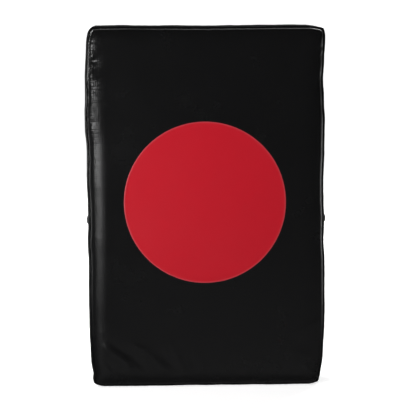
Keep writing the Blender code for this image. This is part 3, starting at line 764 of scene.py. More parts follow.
def mix_colour(tree, mask, low, high):
    made = tree.nodes.new("ShaderNodeMix")
    made.data_type = "RGBA"
    tree.links.new(mask, made.inputs["Factor"])
    for label, value in (("A", low), ("B", high)):
        socket = [s for s in made.inputs if s.name == label and s.type == "RGBA"][0]
        if isinstance(value, tuple):
            socket.default_value = (*value, 1)
        else:
            tree.links.new(value, socket)
    return [s for s in made.outputs if s.type == "RGBA"][0]


def map_range(tree, value, low, high, from_low=0.0, from_high=1.0):
    made = tree.nodes.new("ShaderNodeMapRange")
    tree.links.new(value, made.inputs["Value"])
    for place, number in enumerate((from_low, from_high, low, high), 1):
        made.inputs[place].default_value = number
    return made.outputs[0]


def finish(tree, shader, colour, rough, height, strength, distance):
    """Feed a shader its colour, its roughness and a bump."""
    bump = add_node(tree, "ShaderNodeBump", Strength=strength, Distance=distance)
    tree.links.new(height, bump.inputs["Height"])
    for label, source in (("Base Color", colour), ("Roughness", rough), ("Normal", bump.outputs[0])):
        tree.links.new(source, shader.inputs[label])


def vinyl_finish(name, colour, worn, rough, grain_scale, grain_depth, dust):
    """Coated vinyl. rough is a range, the depth is in metres, and dust is the share of wear."""
    made, tree, shader, place = new_material(name)
    shader.inputs["Specular IOR Level"].default_value = 0.32
    shader.inputs["IOR"].default_value = 1.46
    grain = use_group(tree, GRAIN, place, Scale=grain_scale)
    wear = use_group(tree, WEAR, place, Amount=dust)
    creases = use_group(tree, CRINKLE, place)["Height"]
    finish(tree, shader, mix_colour(tree, wear["Mask"], colour, worn),
           map_range(tree, grain["Patch"], *rough, 0.3, 0.7),
           maths(tree, "MULTIPLY_ADD", creases, 32.0, grain["Height"]), 0.55, grain_depth)
    return made


def woven_finish(name, colour, high, warp, weft, rough, depth):
    """Webbing or tape, with a painted highlight on the yarn crowns and painted shade between them. Its
    yarns and depth are in metres.
    """
    made, tree, shader, place = new_material(name, "UV")
    weave = use_group(tree, WEAVE, place, Warp=warp, Weft=weft)
    # The colour runs from the dark tone between the yarns to the pale one on their crowns: painted shade
    # and highlight
    finish(tree, shader, mix_colour(tree, weave["Shade"], colour, high),
           map_range(tree, weave["Shade"], rough + 0.1, rough), weave["Height"], 0.8, depth)
    return made


def metal_finish(name, colour, rough):
    """Plated metal, brushed by use, with duller patches."""
    made, tree, shader, place = new_material(name)
    shader.inputs["Metallic"].default_value = 1.0
    brushed = add_noise(tree, place, 900.0, 4.0, 0.7)
    dull = tuple(part * 0.72 for part in colour)
    finish(tree, shader, mix_colour(tree, add_noise(tree, place, 260.0), dull, colour),
           map_range(tree, brushed, *rough), brushed, 0.25, 0.0001)
    return made


def moulded_finish(name, colour, high, rough, scale, depth):
    """Plastic, thread or foam: two tones and a skin of fine bumps."""
    made, tree, shader, place = new_material(name)
    skin = add_noise(tree, place, scale, 4.0)
    tone = add_noise(tree, place, scale / 12, 2.0)
    finish(tree, shader, mix_colour(tree, tone, colour, high), map_range(tree, skin, *rough), skin,
           0.5, depth)
    return made


BLACK_VINYL = vinyl_finish(
    "black vinyl", (0.0045, 0.0045, 0.0047), (0.016, 0.016, 0.016), (0.21, 0.29), 900.0, 0.00022, 0.08
)
BLACK_PIPING = vinyl_finish(
    "black piping", (0.0036, 0.0036, 0.0038), (0.020, 0.020, 0.020), (0.18, 0.26), 1300.0, 0.00010, 0.12
)
RED_VINYL = vinyl_finish(
    "red vinyl", (0.415, 0.0052, 0.0142), (0.46, 0.017, 0.028), (0.34, 0.42), 900.0, 0.00018, 0.06
)
# The rim's paler red is a painted sheen along the pressed bead; its heavier dust is wear
RED_EDGE_PAINTED_SHEEN = vinyl_finish(
    "red vinyl edge painted sheen", (0.41, 0.030, 0.042), (0.45, 0.05, 0.06), (0.36, 0.46), 900.0, 0.00010, 0.2
)
BLACK_WEBBING = woven_finish(
    "black webbing", (0.003, 0.003, 0.003), (0.012, 0.012, 0.013), 0.0016, 0.0024, 0.62, 0.0005
)
ZIP_TAPE = woven_finish(
    "zip tape", (0.004, 0.004, 0.004), (0.012, 0.012, 0.013), 0.0007, 0.0009, 0.75, 0.0002
)
NICKEL = metal_finish("nickel plate", (0.62, 0.61, 0.58), (0.20, 0.36))
TOOTH_PLASTIC = moulded_finish(
    "moulded teeth", (0.010, 0.010, 0.011), (0.018, 0.018, 0.019), (0.30, 0.45), 1500.0, 0.00008
)
GRIP_FOAM = moulded_finish(
    "grip foam", (0.008, 0.008, 0.009), (0.016, 0.016, 0.017), (0.62, 0.85), 1400.0, 0.0003
)
THREAD = moulded_finish(
    "black thread", (0.010, 0.010, 0.010), (0.030, 0.030, 0.030), (0.5, 0.7), 4000.0, 0.0001
)
SOFT_FOAM = moulded_finish(
    "soft foam", (0.60, 0.58, 0.50), (0.76, 0.74, 0.66), (0.85, 0.98), 900.0, 0.0006
)
FIRM_FOAM = moulded_finish(
    "firm foam", (0.07, 0.075, 0.08), (0.12, 0.125, 0.135), (0.85, 0.98), 700.0, 0.0006
)


def dress(thing, material, body, slot, *replaced):
    thing.data.materials.clear()
    thing.data.materials.append(material)
    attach(thing, body)
    if replaced:
        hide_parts(*replaced)
    return thing


# Striking face

def fullness(x, z):
    """How tightly the filling pushes the vinyl into its edge roll: most at the upper left."""
    rise = 0.30 * ramp(z, 0.40, 0.50) + 0.50 * ramp(z, 0.500, 0.545)
    rise *= 1 - 0.85 * math.exp(-((z - 0.549) / 0.009) ** 2)
    rise *= ramp(x, -0.11, -0.16) * (1 - 0.5 * ramp(z, 0.585, 0.600))
    return max(rise, 0.3 * ramp(x, -0.12, -0.06))


def add_face():
    def depth_at(x, z, fall):
        if fall > 0:
            inset = FACE_ROLL[0] * (1 - math.sqrt(max(1 - (fall / FACE_ROLL[1]) ** 2, 0)))
            tight = FACE_ROLL[1] * math.sqrt(1 - max(1 - inset / TIGHT_ROLL, 0) ** 2)
            fall += (tight - fall) * fullness(x, z)
        return FACE_HIGH.y - fall - crown(x, z)

    face = add_panel("striking_face", 84, 126, FACE_ROLL, depth_at)
    turn_out(face)
    subdivide(face)
    points = coordinates(face)
    x, z = points[:, 0], points[:, 2]
    far = seam_distance(x, z)
    lift = add_folds(x, z, DRAPE_FOLDS + CORNER_FOLDS)
    lift += 1.1 * MM * puckers(points, far, 7 * MM, 9 * MM, 1) + shoulder_puckers(points)
    lift *= np.clip(far / (5 * MM) + 0.25, 0, 1)
    set_coordinates(face, points + normals(face) * lift[:, None])
    mark_gathers(face, points)
    thicken(face, VINYL)
    smooth(face)
    dress(face, BLACK_VINYL, "shield", "cover_vinyl", "front_panel")
    return face


def add_target(face):
    """The round target: a disc that lies on the face and follows its swell."""
    tree = surface_of(face)
    radius = (DISC_HIGH.x - DISC_LOW.x) / 2
    centre_z = (DISC_HIGH.z + DISC_LOW.z) / 2
    take()
    bpy.ops.mesh.primitive_circle_add(vertices=144, radius=1, fill_type="NOTHING")
    disc = bpy.context.object
    disc.name = "target_disc_skin"
    mode("EDIT")
    bpy.ops.mesh.select_all(action="SELECT")
    sizes = [1.0, 0.996, 0.990, DISC_RIM] + [0.96 * i / 28 for i in range(28, 0, -1)]
    for size, smaller in zip(sizes, sizes[1:]):
        bpy.ops.mesh.extrude_edges_move()
        bpy.ops.transform.resize(value=(smaller / size, smaller / size, 1))
    bpy.ops.mesh.extrude_edges_move()
    bpy.ops.mesh.merge(type="CENTER")
    mode("OBJECT")
    points = coordinates(disc)
    for point in points:
        x, z = point[0] * radius + DISC_ASIDE, centre_z + point[1] * radius
        hit = tree.ray_cast(Vector((x, -1, z)), BACKWARD)[0]
        far = math.hypot(point[0], point[1])
        bead = 0.25 * MM * (0.983 < far < 0.998)
        point[:] = (x, hit.y - 0.5 * MM - bead, z)
    set_coordinates(disc, points)
    turn_out(disc)
    thicken(disc, 0.45 * MM)
    smooth(disc, 50)
    dress(disc, RED_VINYL, "shield", "red_vinyl", "target_disc")
    # Faces past the pressed rim take the paler red: a painted sheen along the bead
    disc.data.materials.append(RED_EDGE_PAINTED_SHEEN)
    for part in disc.data.polygons:
        middle = part.center
        if math.hypot(middle.x - DISC_ASIDE, middle.z - centre_z) > DISC_RIM * radius:
            part.material_index = 1
    return disc


# Boxing

def add_boxing(name, sides, lapped, seed, replaced):
    """A strip round half of the sides. sides gives its stretches of outline, end to end."""
    walk = walk_along(sides) + [(sides[-1][0], sides[-1][2])]
    along = len(walk) - 1
    strip = add_grid(name, 24, along)
    width = BACK_SEAM - FRONT_SEAM

    def place(u, v):
        i = round(v * along)
        far = u * width
        edge = min(far, width - far)
        if edge < TUCK:
            out = -2.0 * MM * (1 - edge / TUCK) ** 2
        else:
            rise = min((edge - TUCK) / BOXING_ROLL, 1)
            out = BULGE * math.sqrt(max(1 - (1 - rise) ** 2, 0))
        if lapped:
            step = min(i, along - i)
            out += LAP_STAND * (LAP_FLARE[step] if step < len(LAP_FLARE) else 0)
        x, z = on_side(-out, -out * (0.2 if lapped else 1.0), *walk[i])
        return x, FRONT_SEAM + far, z

    shape(strip, place)
    turn_out(strip)
    subdivide(strip)
    points = coordinates(strip)
    edge = np.minimum(points[:, 1] - FRONT_SEAM, BACK_SEAM - points[:, 1])
    push = np.zeros(len(points))
    for i, (x, y, z) in enumerate(points):
        gather = ripple((x, 0, z), 8 * MM, seed) * math.exp(-edge[i] / (9 * MM)) * 0.9
        wave = 0.8 * ripple((x, y, z), 45 * MM, seed + 2)
        wave += 0.35 * ripple((x, y * 0.6, z), 16 * MM, seed + 4)
        calm = ramp(abs(z - (LAP_LOW + LAP_HIGH) / 2), 8 * MM, 24 * MM)
        push[i] = (gather + wave * min(edge[i] / (14 * MM), 1)) * MM * calm
    points += normals(strip) * push[:, None]
    points[:, 2] = np.maximum(points[:, 2], GROUND)
    set_coordinates(strip, points)
    thicken(strip, VINYL)
    smooth(strip)
    dress(strip, BLACK_VINYL, "shield", "cover_vinyl", replaced)
    return strip


def add_boxings():
    low, high = side_share(LAP_LOW), side_share(LAP_HIGH)
    upper = [("right", low, 1, 84), ("top", 1, -1, 100), ("left", 1, low, 84)]
    lower = [("left", high, -1, 72), ("bottom", -1, 1, 100), ("right", -1, high, 72)]
    top = add_boxing("boxing_strip_upper", upper, True, 11, "boxing_upper")
    add_boxing("boxing_strip_lower", lower, False, 14, "boxing_lower")
    tree = surface_of(top)
    lines = []
    for sign in (-1, 1):
        for z in (LAP_LOW + 2.2 * MM, LAP_HIGH - 2.2 * MM):
            line = []
            for i in range(60):
                y = FRONT_SEAM + 5 * MM + (BACK_SEAM - FRONT_SEAM - 10 * MM) * i / 59
                line.append(tree.ray_cast(Vector((sign, y, z)), Vector((-sign, 0, 0)))[:2])
            lines.append(line)
    add_stitches("lap_stitches", lines, SEWN_STEP)


# Piping

def add_piping(name, seam, seed, node_name):
    """A bead of covered cord, sewn in along a seam."""
    walk = walk_along([("bottom", -1, 1, 130), ("right", -1, 1, 200),
                       ("top", 1, -1, 130), ("left", 1, -1, 200)])
    path = [Vector((x, seam, z)) for x, z in (on_side(-PIPE_OUTSET, -PIPE_OUTSET, *step) for step in walk)]
    frames, sizes = [], []
    for i, centre in enumerate(path):
        ahead = (path[(i + 1) % len(path)] - path[i - 1]).normalized()
        out = Vector((ahead.z, 0, -ahead.x))
        sway = out * ripple(centre, 30 * MM, seed + 1) * 0.5 * MM
        sway += BACKWARD * ripple(centre, 26 * MM, seed + 2) * 0.7 * MM
        proud = ramp(centre.z, 0.505, 0.520) * ramp(centre.z, 0.592, 0.582)
        proud *= (centre.x < -0.15 and seam == FRONT_SEAM)
        sway += Vector((2.2, -1.8, 0)) * MM * proud
        frames.append((centre + sway, out, BACKWARD))
        sizes.append(PIPE_RADIUS * (1 + 0.10 * ripple(centre, 5 * MM, seed) + 0.2 * proud))
    ring = circle(10)
    bead = sweep(name, frames, lambda i: scaled(ring, sizes[i]), closed=True)
    points = coordinates(bead)
    points[:, 2] = np.maximum(points[:, 2], GROUND)
    set_coordinates(bead, points)
    smooth(bead, 80)
    return dress(bead, BLACK_PIPING, "shield", "piping_vinyl", node_name)


# Stitches

def add_stitches(name, lines, pitch, length=2.3 * MM):
    """Thread laid in along lines of (point, normal): one stitch is made and then copied."""
    tip = 0.35 * MM
    take()
    bpy.ops.mesh.primitive_cylinder_add(vertices=6, radius=0.32 * MM, depth=length, end_fill_type="NGON")
    stitch = bpy.context.object
    for face in stitch.data.polygons:
        face.select = abs(face.normal.z) > 0.9
    mode("EDIT")
    bpy.ops.mesh.select_mode(type="FACE")
    bpy.ops.mesh.extrude_faces_move(TRANSFORM_OT_shrink_fatten={"value": tip})
    bpy.ops.mesh.select_mode(type="VERT")
    mode("OBJECT")
    for vert in stitch.data.vertices:
        end = min(max(abs(vert.co.z) - length / 2, 0) / tip, 1)
        vert.co.x *= 1 - 0.45 * end
        vert.co.y = vert.co.y * (1 - 0.45 * end) - 0.30 * MM * end + 0.10 * MM
    smooth(stitch, 80)
    stitch.data.materials.append(THREAD)
    places = []
    for line in lines:
        spent = pitch / 2
        for (a, up), (b, _) in zip(line, line[1:]):
            step = (b - a).length
            while spent <= step:
                along = (b - a).normalized()
                out = (up - along * up.dot(along)).normalized()
                turn = Matrix((out.cross(along), out, along)).transposed().to_4x4()
                places.append(Matrix.Translation(a + along * spent) @ turn)
                spent += pitch
            spent -= step
    thing = copies(name, stitch, places)
    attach(thing, "shield")
    return thing


def traced(tree, corners, step=1.5 * MM):
    """A route given by (x, z) corners, laid on the surface seen from behind, with its normals."""
    line = []
    for place, ((ax, az), (bx, bz)) in enumerate(zip(corners, corners[1:])):
        count = max(int(math.dist((ax, az), (bx, bz)) / step), 1)
        for i in range(count + (place == len(corners) - 2)):
            x, z = ax + (bx - ax) * i / count, az + (bz - az) * i / count
            line.append(tree.ray_cast(Vector((x, 0.3, z)), -BACKWARD)[:2])
    return line


# Back of the cover

def handle_spaces():
    """Rectangles (x, z, half width, half height) that the sewn-on handles cover."""
    spaces = []
    for kind in ("forearm", "hand"):
        for side in ("left", "right"):
            for end in ("upper", "lower"):
                low, high, x, z = place_of(f"{kind}_patch_{side}_{end}")
                spaces.append((x, z, (high.x - low.x) / 2, (high.z - low.z) / 2))
    return spaces


def outside(x, z, middle_x, middle_z, half_x, half_z):
    """How far each point lies outside a rectangle."""
    return np.hypot(np.maximum(np.abs(x - middle_x) - half_x, 0),
                    np.maximum(np.abs(z - middle_z) - half_z, 0))


def add_backs():
    across, along = 80, 120

    def depth_at(x, z, fall):
        return BACK_LOW.y + fall

    whole = add_panel("back_cover_upper", across, along, BACK_ROLL, depth_at)
    points = coordinates(whole).reshape(along + 1, across + 1, 3)
    middle = points[:, across // 2, 2]
    at = int(np.argmin(np.abs(middle - ZIP_LINE)))
    steps = [-5, -4, -3, -2, 0, 2, 3, 4, 5]
    hems = [-7.5, -6, -1.5, 0, 0, 0, 1.5, 6, 7.5]
    rows = [at + step for step in steps]
    edges = [ZIP_LINE + (WINDOW_HALF * (step > 0) - WINDOW_HALF * (step < 0) + hem * MM)
             for step, hem in zip(steps, hems)]
    for i in range(across + 1):
        z = points[:, i, 2].copy()
        points[:, i, 2] = np.interp(z, [0, *z[rows], 0.2, 0.7], [0, *edges, 0.2, 0.7])
    left = int(np.argmin(np.abs(points[at, :, 0] + WINDOW_END)))
    right = int(np.argmin(np.abs(points[at, :, 0] - WINDOW_END)))
    columns = [left - 2, left - 1, left, right, right + 1, right + 2]
    reach = [-WINDOW_END - HEM, -WINDOW_END - HEM_FOLD, -WINDOW_END,
             WINDOW_END, WINDOW_END + HEM_FOLD, WINDOW_END + HEM]
    for j in range(along + 1):
        share = min(max(1 - (abs(j - at) - 6) / 12, 0), 1)
        x = points[j, :, 0].copy()
        moved = np.interp(x, [x[0], *x[columns], x[-1]], [x[0], *reach, x[-1]])
        points[j, :, 0] = x + (moved - x) * share
    set_coordinates(whole, points.reshape(-1, 3))
    turn_out(whole)
    lower = put("back_cover_lower", whole.data.copy())
    finish_back(whole, 1, "back_panel")
    finish_back(lower, -1, "back_strip")
    return whole, lower


def finish_back(panel, sign, replaced):
    """Cut one length of the back to the zip, hem its edge and lay its wrinkles."""
    take(panel)
    mode("EDIT")
    bpy.ops.mesh.select_mode(type="FACE")
    bpy.ops.mesh.select_all(action="DESELECT")
    mode("OBJECT")
    for face in panel.data.polygons:
        centre = face.center
        in_window = abs(centre.x) < WINDOW_END and abs(centre.z - ZIP_LINE) < WINDOW_HALF
        face.select = in_window or (centre.z - ZIP_LINE) * sign < 0
    mode("EDIT")
    bpy.ops.mesh.delete(type="FACE")
    bpy.ops.mesh.select_mode(type="VERT")
    mode("OBJECT")
    subdivide(panel)
    points = coordinates(panel)
    x, z = points[:, 0], points[:, 2]
    off_zip = (z - ZIP_LINE) * sign
    window = outside(x, z, 0, ZIP_LINE, WINDOW_END, WINDOW_HALF)
    free = np.clip((window - 8 * MM) / (20 * MM), 0, 1)
    for space in handle_spaces():
        free = np.minimum(free, np.clip((outside(x, z, *space) - 1 * MM) / (14 * MM), 0, 1))
    far = seam_distance(x, z)
    dips = np.array([ripple((p[0], 0, p[2]), 60 * MM, 31) for p in points])
    fine = np.array([ripple((p[0], 0, p[2]), 17 * MM, 32) for p in points])
    lift = add_folds(x, z, BACK_FOLDS) - 1.1 * MM * (0.5 + dips) - 0.35 * MM * (0.5 + fine)
    lift *= free * np.clip(far / (14 * MM), 0, 1)
    gathers = puckers(points, far, 7 * MM, 8 * MM, 33)
    lift += 0.8 * MM * gathers * np.clip(far / (4 * MM), 0, 1) * np.clip(window / (9 * MM), 0, 1)
    hem = 0.45 * MM * np.clip((HEM - window) / HEM_FOLD, 0, 1)
    turned = 0.45 * MM * np.clip((1.4 * MM - window) / (1.4 * MM), 0, 1)
    joined = 0.9 * MM * np.clip((2.2 * MM - off_zip) / (2.2 * MM), 0, 1)
    points = points + normals(panel) * (lift + hem - turned - joined)[:, None]
    points[:, 2] += 0.15 * MM * sign * (off_zip < 1 * MM)
    set_coordinates(panel, points)
    thicken(panel, VINYL)
    smooth(panel)
    dress(panel, BLACK_VINYL, "shield", "cover_vinyl", replaced)


# Filling

def add_fillings():
    """The two foam layers, a little slack in the cover, with a bed for the zip in the firm one."""
    slack = 2.8 * MM

    def front(x, z, fall):
        return FACE_HIGH.y + slack - fall - crown(x, z)

    def back(x, z, fall):
        y = BACK_LOW.y - slack + fall
        if abs(x) < WINDOW_END + 6 * MM:
            bed = np.interp(abs(z - ZIP_LINE), [0, 12 * MM, 18 * MM, 26 * MM, 34 * MM], [8, 8, 6, 6, 0])
            y = min(y, BACK_FLAT - bed * MM)
        return y

    for name, depth_at, roll, end, material, slot, node_name in (
        ("strike_foam_layer", front, FACE_ROLL, GLUE_LINE, SOFT_FOAM, "soft_foam", "strike_foam"),
        ("core_foam_layer", back, BACK_ROLL, GLUE_LINE + 0.5 * MM, FIRM_FOAM, "firm_foam", "core_foam"),
    ):
        foam = add_panel(name, 60, 90, roll, depth_at, slack)
        take(foam)
        mode("EDIT")
        bpy.ops.mesh.select_mode(type="VERT")
        bpy.ops.mesh.select_all(action="DESELECT")
        bpy.ops.mesh.select_non_manifold()
        bpy.ops.mesh.extrude_edges_move()
        mode("OBJECT")
        for vert in foam.data.vertices:
            if vert.select:
                vert.co.y = end
        mode("EDIT")
        bpy.ops.mesh.edge_face_add()
        mode("OBJECT")
        weld(foam)
        smooth(foam, 40)
        dress(foam, material, "shield", slot, node_name)


# Zip

def add_tapes():
    """Woven tapes, which lie under the edges of the opening."""
    for end, seed in (("upper", 42), ("lower", 40)):
        node_name = f"zip_tape_{end}"
        low, high, _, z = place_of(node_name)
        outline = rounded_strip(high.z - low.z, high.y - low.y, 7)
        frames = []
        for i in range(181):
            x = low.x + (high.x - low.x) * i / 180
            y = TAPE_MIDDLE + ripple((x, 0, 0), 30 * MM, seed) * 0.15 * MM
            frames.append((Vector((x, y, z)), UP, BACKWARD))
        tape = closed_tube(f"zip_tape_woven_{end}", frames, outline)
        smooth(tape, 50)
        dress(tape, ZIP_TAPE, "shield", "zip_tape", node_name)


def add_tooth():
    """A moulded tooth: a wedge head over the middle line, a narrow neck, and a clamp on the cord."""
    take()
    bpy.ops.mesh.primitive_cube_add(size=1)
    tooth = bpy.context.object
    for vert in tooth.data.vertices:
        head = vert.co.z < 0
        vert.co.x *= (2.1 if head else 1.0) * MM
        vert.co.y *= 2.5 * MM
        vert.co.z = (-1.7 if head else 2.8) * MM
    for face in tooth.data.polygons:
        face.select = face.normal.z > 0.9
    mode("EDIT")
    bpy.ops.mesh.select_mode(type="FACE")
    bpy.ops.mesh.extrude_region_move(TRANSFORM_OT_translate={"value": (0, 0, 0.5 * MM)})
    bpy.ops.transform.resize(value=(2.3, 1.08, 1))
    bpy.ops.mesh.extrude_region_move(TRANSFORM_OT_translate={"value": (0, 0, 1.5 * MM)})
    bpy.ops.mesh.select_mode(type="VERT")
    mode("OBJECT")
    bevel(tooth, 0.32 * MM, 1)
    smooth(tooth, 40)
    tooth.data.materials.append(TOOTH_PLASTIC)
    return tooth


def add_teeth():
    """Rows of moulded teeth, each clamped on a cord at the edge of its tape."""
    first_tooth = SLIDER_FRONT - 9.5 * MM
    for end, sign in (("upper", 1), ("lower", -1)):
        first = first_tooth - (TOOTH_PITCH / 2 if sign > 0 else 0)
        turn = Matrix.Scale(sign, 4, UP)
        places = []
        for i in range(TEETH):
            places.append(Matrix.Translation((first - i * TOOTH_PITCH, TAPE_MIDDLE, ZIP_LINE)) @ turn)
        row = copies(f"zip_teeth_row_{end}", add_tooth(), places)
        weld(row)
        smooth(row, 40)
        frames = []
        for i in range(61):
            spot = Vector((SLIDER_FRONT * (i / 30 - 1), TAPE_MIDDLE, ZIP_LINE + sign * EDGE_CORD))
            frames.append((spot, UP, BACKWARD))
        cord = closed_tube("edge_cord", frames, scaled(circle(8), 0.85 * MM))
        smooth(cord, 60)
        cord.data.materials.append(ZIP_TAPE)
        take(row, cord)
        bpy.ops.object.join()
        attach(row, "shield")
        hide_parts(f"zip_teeth_{end}")


def add_zip_metal():
    for node_name, name, body, width in (
        ("zip_slider", "zip_slider_plated", "slider", 0.22 * MM),
        ("zip_pull", "zip_pull_plated", "pull", 0.25 * MM),
        ("zip_stop_upper", "zip_stop_crimped_upper", "shield", 0.35 * MM),
        ("zip_stop_lower", "zip_stop_crimped_lower", "shield", 0.35 * MM),
        ("zip_end_stop", "zip_end_stop_crimped", "shield", 0.5 * MM),
    ):
        piece = copy_of_node(node_name, name, width)
        smooth(piece, 35)
        dress(piece, NICKEL, body, "zip_metal", node_name)


# Handles

def strap_frames(x, length, reach, sway, seed):
    """Frames along a sewn-down loop and its two tails, from the lower end to the upper one."""
    base = HANDLE_Y + WEBBING / 2
    dense = [(base, HANDLE_MIDDLE - length / 2 - SEWN_TAIL)]
    for i in range(301):
        share = (1 - math.cos(math.pi * i / 300)) / 2
        rise = reach * (1 - abs(2 * share - 1) ** LOOP_POWER)
        dense.append((base + rise, HANDLE_MIDDLE + length * (share - 0.5)))
    dense.append((base, HANDLE_MIDDLE + length / 2 + SEWN_TAIL))
    far = [0.0]
    for a, b in zip(dense, dense[1:]):
        far.append(far[-1] + math.dist(a, b))
    count = round(far[-1] / (2.6 * MM))
    spots = np.linspace(0, far[-1], count + 1)
    y = np.interp(spots, far, [p[0] for p in dense])
    z = np.interp(spots, far, [p[1] for p in dense])
    for _ in range(3):
        y[1:-1] = (y[:-2] + 2 * y[1:-1] + y[2:]) / 4
        z[1:-1] = (z[:-2] + 2 * z[1:-1] + z[2:]) / 4
    frames, slack = [], []
    for i in range(count + 1):
        before, after = max(i - 1, 0), min(i + 1, count)
        along = Vector((0, y[after] - y[before], z[after] - z[before])).normalized()
        out = Vector((0, along.z, -along.y))
        free = ramp(min(spots[i], far[-1] - spots[i]), SEWN_TAIL, SEWN_TAIL + length / 2)
        aside = Vector((sway * free * ripple((0, 0, z[i]), 60 * MM, seed), 0, 0))
        lean = ripple((0, 0, z[i]), 70 * MM, seed + 1) * 0.05 * free
        across = (RIGHT + out * lean).normalized()
        frames.append((Vector((x, y[i], z[i])) + aside, across, out))
        slack.append(free)
    return frames, slack


def add_strap(name, node_name, width, length, reach, sway, seed):
    frames, slack = strap_frames(place_of(node_name)[2], length, reach, sway, seed)
    outline = rounded_strip(width - 0.2 * MM, WEBBING - 0.1 * MM, 9)
    frames, sizes = capped(frames, [1.0] * len(frames))
    slack = [0.0] + slack + [0.0]

    def outline_at(i):
        return scaled([(a, b - CUPPING * slack[i] * (2 * a / width) ** 2) for a, b in outline], sizes[i])

    strap = sweep(name, frames, outline_at)
    smooth(strap, 60)
    return dress(strap, BLACK_WEBBING, "shield", "webbing", node_name)


def add_patch(name, node_name, strap_width):
    """A hemmed vinyl patch over a strap's sewn end, open towards the loop."""
    low, high, middle_x, middle_z = place_of(node_name)
    upper = low.z > HANDLE_MIDDLE
    patch = add_grid(name, round((high.x - low.x) / (1.5 * MM)), round((high.z - low.z) / (1.5 * MM)))

    def place(u, v):
        x = low.x + (high.x - low.x) * u
        z = low.z + (high.z - low.z) * v
        rim = min(x - low.x, high.x - x, z - low.z, high.z - z)
        past_x = max(abs(x - middle_x) - (high.x - low.x) / 2 + PATCH_CORNER, 0)
        past_z = max(abs(z - middle_z) - (high.z - low.z) / 2 + PATCH_CORNER, 0)
        if past_x > 0 and past_z > 0:
            kept = max(past_x, past_z) / math.hypot(past_x, past_z)
            x -= math.copysign(past_x * (1 - kept), x - middle_x)
            z -= math.copysign(past_z * (1 - kept), z - middle_z)
        aside = abs(x - middle_x) - strap_width / 2
        to_tail = high.z - z if upper else z - low.z
        rise = (WEBBING + 0.35 * MM) * ramp(aside, 3.4 * MM, 0.4 * MM) * ramp(to_tail, 4.5 * MM, 8 * MM)
        hem = 0.25 * MM * ramp(rim, 6 * MM, 4.8 * MM)
        soft = 0.15 * MM * ripple((x, 0, z), 9 * MM, 51)
        return x, HANDLE_Y + PATCH + rise + hem + soft, z

    shape(patch, place)
    turn_out(patch)
    thicken(patch, PATCH - 0.25 * MM)
    bevel(patch, 0.4 * MM, 2, 50)
    smooth(patch, 50)
    return dress(patch, BLACK_VINYL, "shield", "cover_vinyl", node_name)


def patch_lines(patch, node_name, strap_width):
    """Where a patch is sewn: round its edge, and in a crossed box through the webbing."""
    low, high, middle, _ = place_of(node_name)
    tree = surface_of(patch)
    upper = low.z > HANDLE_MIDDLE
    rim, shut, mouth = 3 * MM, 7 * MM, 13 * MM
    left, right = low.x + rim, high.x - rim
    foot, head = low.z + rim, high.z - rim
    half = strap_width / 2 - rim
    start, end = (low.z + shut, high.z - mouth) if upper else (low.z + mouth, high.z - shut)
    a, b, c, d = (middle - half, start), (middle + half, start), (middle + half, end), (middle - half, end)
    edge = [(left, foot), (right, foot), (right, head), (left, head), (left, foot)]
    return [traced(tree, route) for route in (edge, [a, b, c, d, a], [a, c], [b, d])]


def add_sleeve(name, node_name, length, reach, seed):
    """A foam grip on the hand strap: an oval tube, with a slot for the webbing."""
    x = place_of(node_name)[2]
    ends = HANDLE_MIDDLE - SLEEVE_HALF, HANDLE_MIDDLE + SLEEVE_HALF
    lips = [(0, 1.1), (0.15, 0.55), (0.5, 0.18), (1.1, 0)]
    outside = [(ends[0] + far * MM, cut * MM) for far, cut in lips]
    outside += [(ends[0] + 1.1 * MM + (ends[1] - ends[0] - 2.2 * MM) * i / 30, 0.0) for i in range(1, 30)]
    outside += [(ends[1] - far * MM, cut * MM) for far, cut in reversed(lips)]
    inside = [ends[1] + (ends[0] - ends[1]) * i / 10 for i in range(11)]
    stations = [(z, cut, False) for z, cut in outside] + [(z, 0.0, True) for z in inside]
    frames = []
    for z, _, _ in stations:
        share = 2 * (z - HANDLE_MIDDLE) / length
        y = HANDLE_Y + WEBBING / 2 + reach * (1 - abs(share) ** LOOP_POWER)
        slope = -math.copysign(reach * LOOP_POWER * abs(share) ** (LOOP_POWER - 1) * 2 / length, share)
        along = Vector((0, slope, 1)).normalized()
        frames.append((Vector((x, y, z)), RIGHT, Vector((0, along.z, -along.y))))
    ring = circle(28)
    slot = [(math.copysign(abs(c) ** 0.35, c) * 13.2 * MM, math.copysign(abs(s) ** 0.35, s) * 1.8 * MM)
            for c, s in ring]

    def outline_at(i):
        z, cut, is_slot = stations[i]
        if is_slot:
            return slot
        swell = 1 - 0.13 * abs((z - HANDLE_MIDDLE) / SLEEVE_HALF) ** 4
        points = []
        for c, s in ring:
            crease = 0.35 * MM * ripple((c * 0.01, s * 0.01, z * 0.4), 5 * MM, seed)
            points.append((c * (16.6 * MM * swell - cut + crease), s * (8.2 * MM * swell - cut + crease)))
        return points

    sleeve = sweep(name, frames, outline_at, closed=True)
    smooth(sleeve, 50)
    dress(sleeve, GRIP_FOAM, "shield", "grip_foam", node_name)


def add_handles():
    lines = []
    seed = 60
    for side in ("left", "right"):
        for kind, width, length, reach, sway in (
            ("forearm", 50 * MM, 170 * MM, 62 * MM, 1.2 * MM),
            ("hand", 25 * MM, 156 * MM, 48 * MM, 0.2 * MM),
        ):
            seed += 7
            add_strap(f"{kind}_webbing_{side}", f"{kind}_strap_{side}", width, length, reach, sway, seed)
            for end in ("upper", "lower"):
                node_name = f"{kind}_patch_{side}_{end}"
                patch = add_patch(f"{kind}_sewn_patch_{side}_{end}", node_name, width)
                lines += patch_lines(patch, node_name, width)
            if kind == "hand":
                add_sleeve(f"hand_grip_{side}", f"grip_sleeve_{side}", length, reach, seed + 3)
    add_stitches("patch_stitches", lines, 3.0 * MM, 2.1 * MM)


def add_window_stitches(upper, lower):
    tree = surface_of(upper, lower)
    top, bottom = ZIP_LINE + WINDOW_HALF + 3.2 * MM, ZIP_LINE - WINDOW_HALF - 3.2 * MM
    lines = [traced(tree, [(-WINDOW_END, top), (WINDOW_END, top)]),
             traced(tree, [(WINDOW_END, bottom), (-WINDOW_END, bottom)])]
    add_stitches("zip_window_stitches", lines, SEWN_STEP)


# Studio

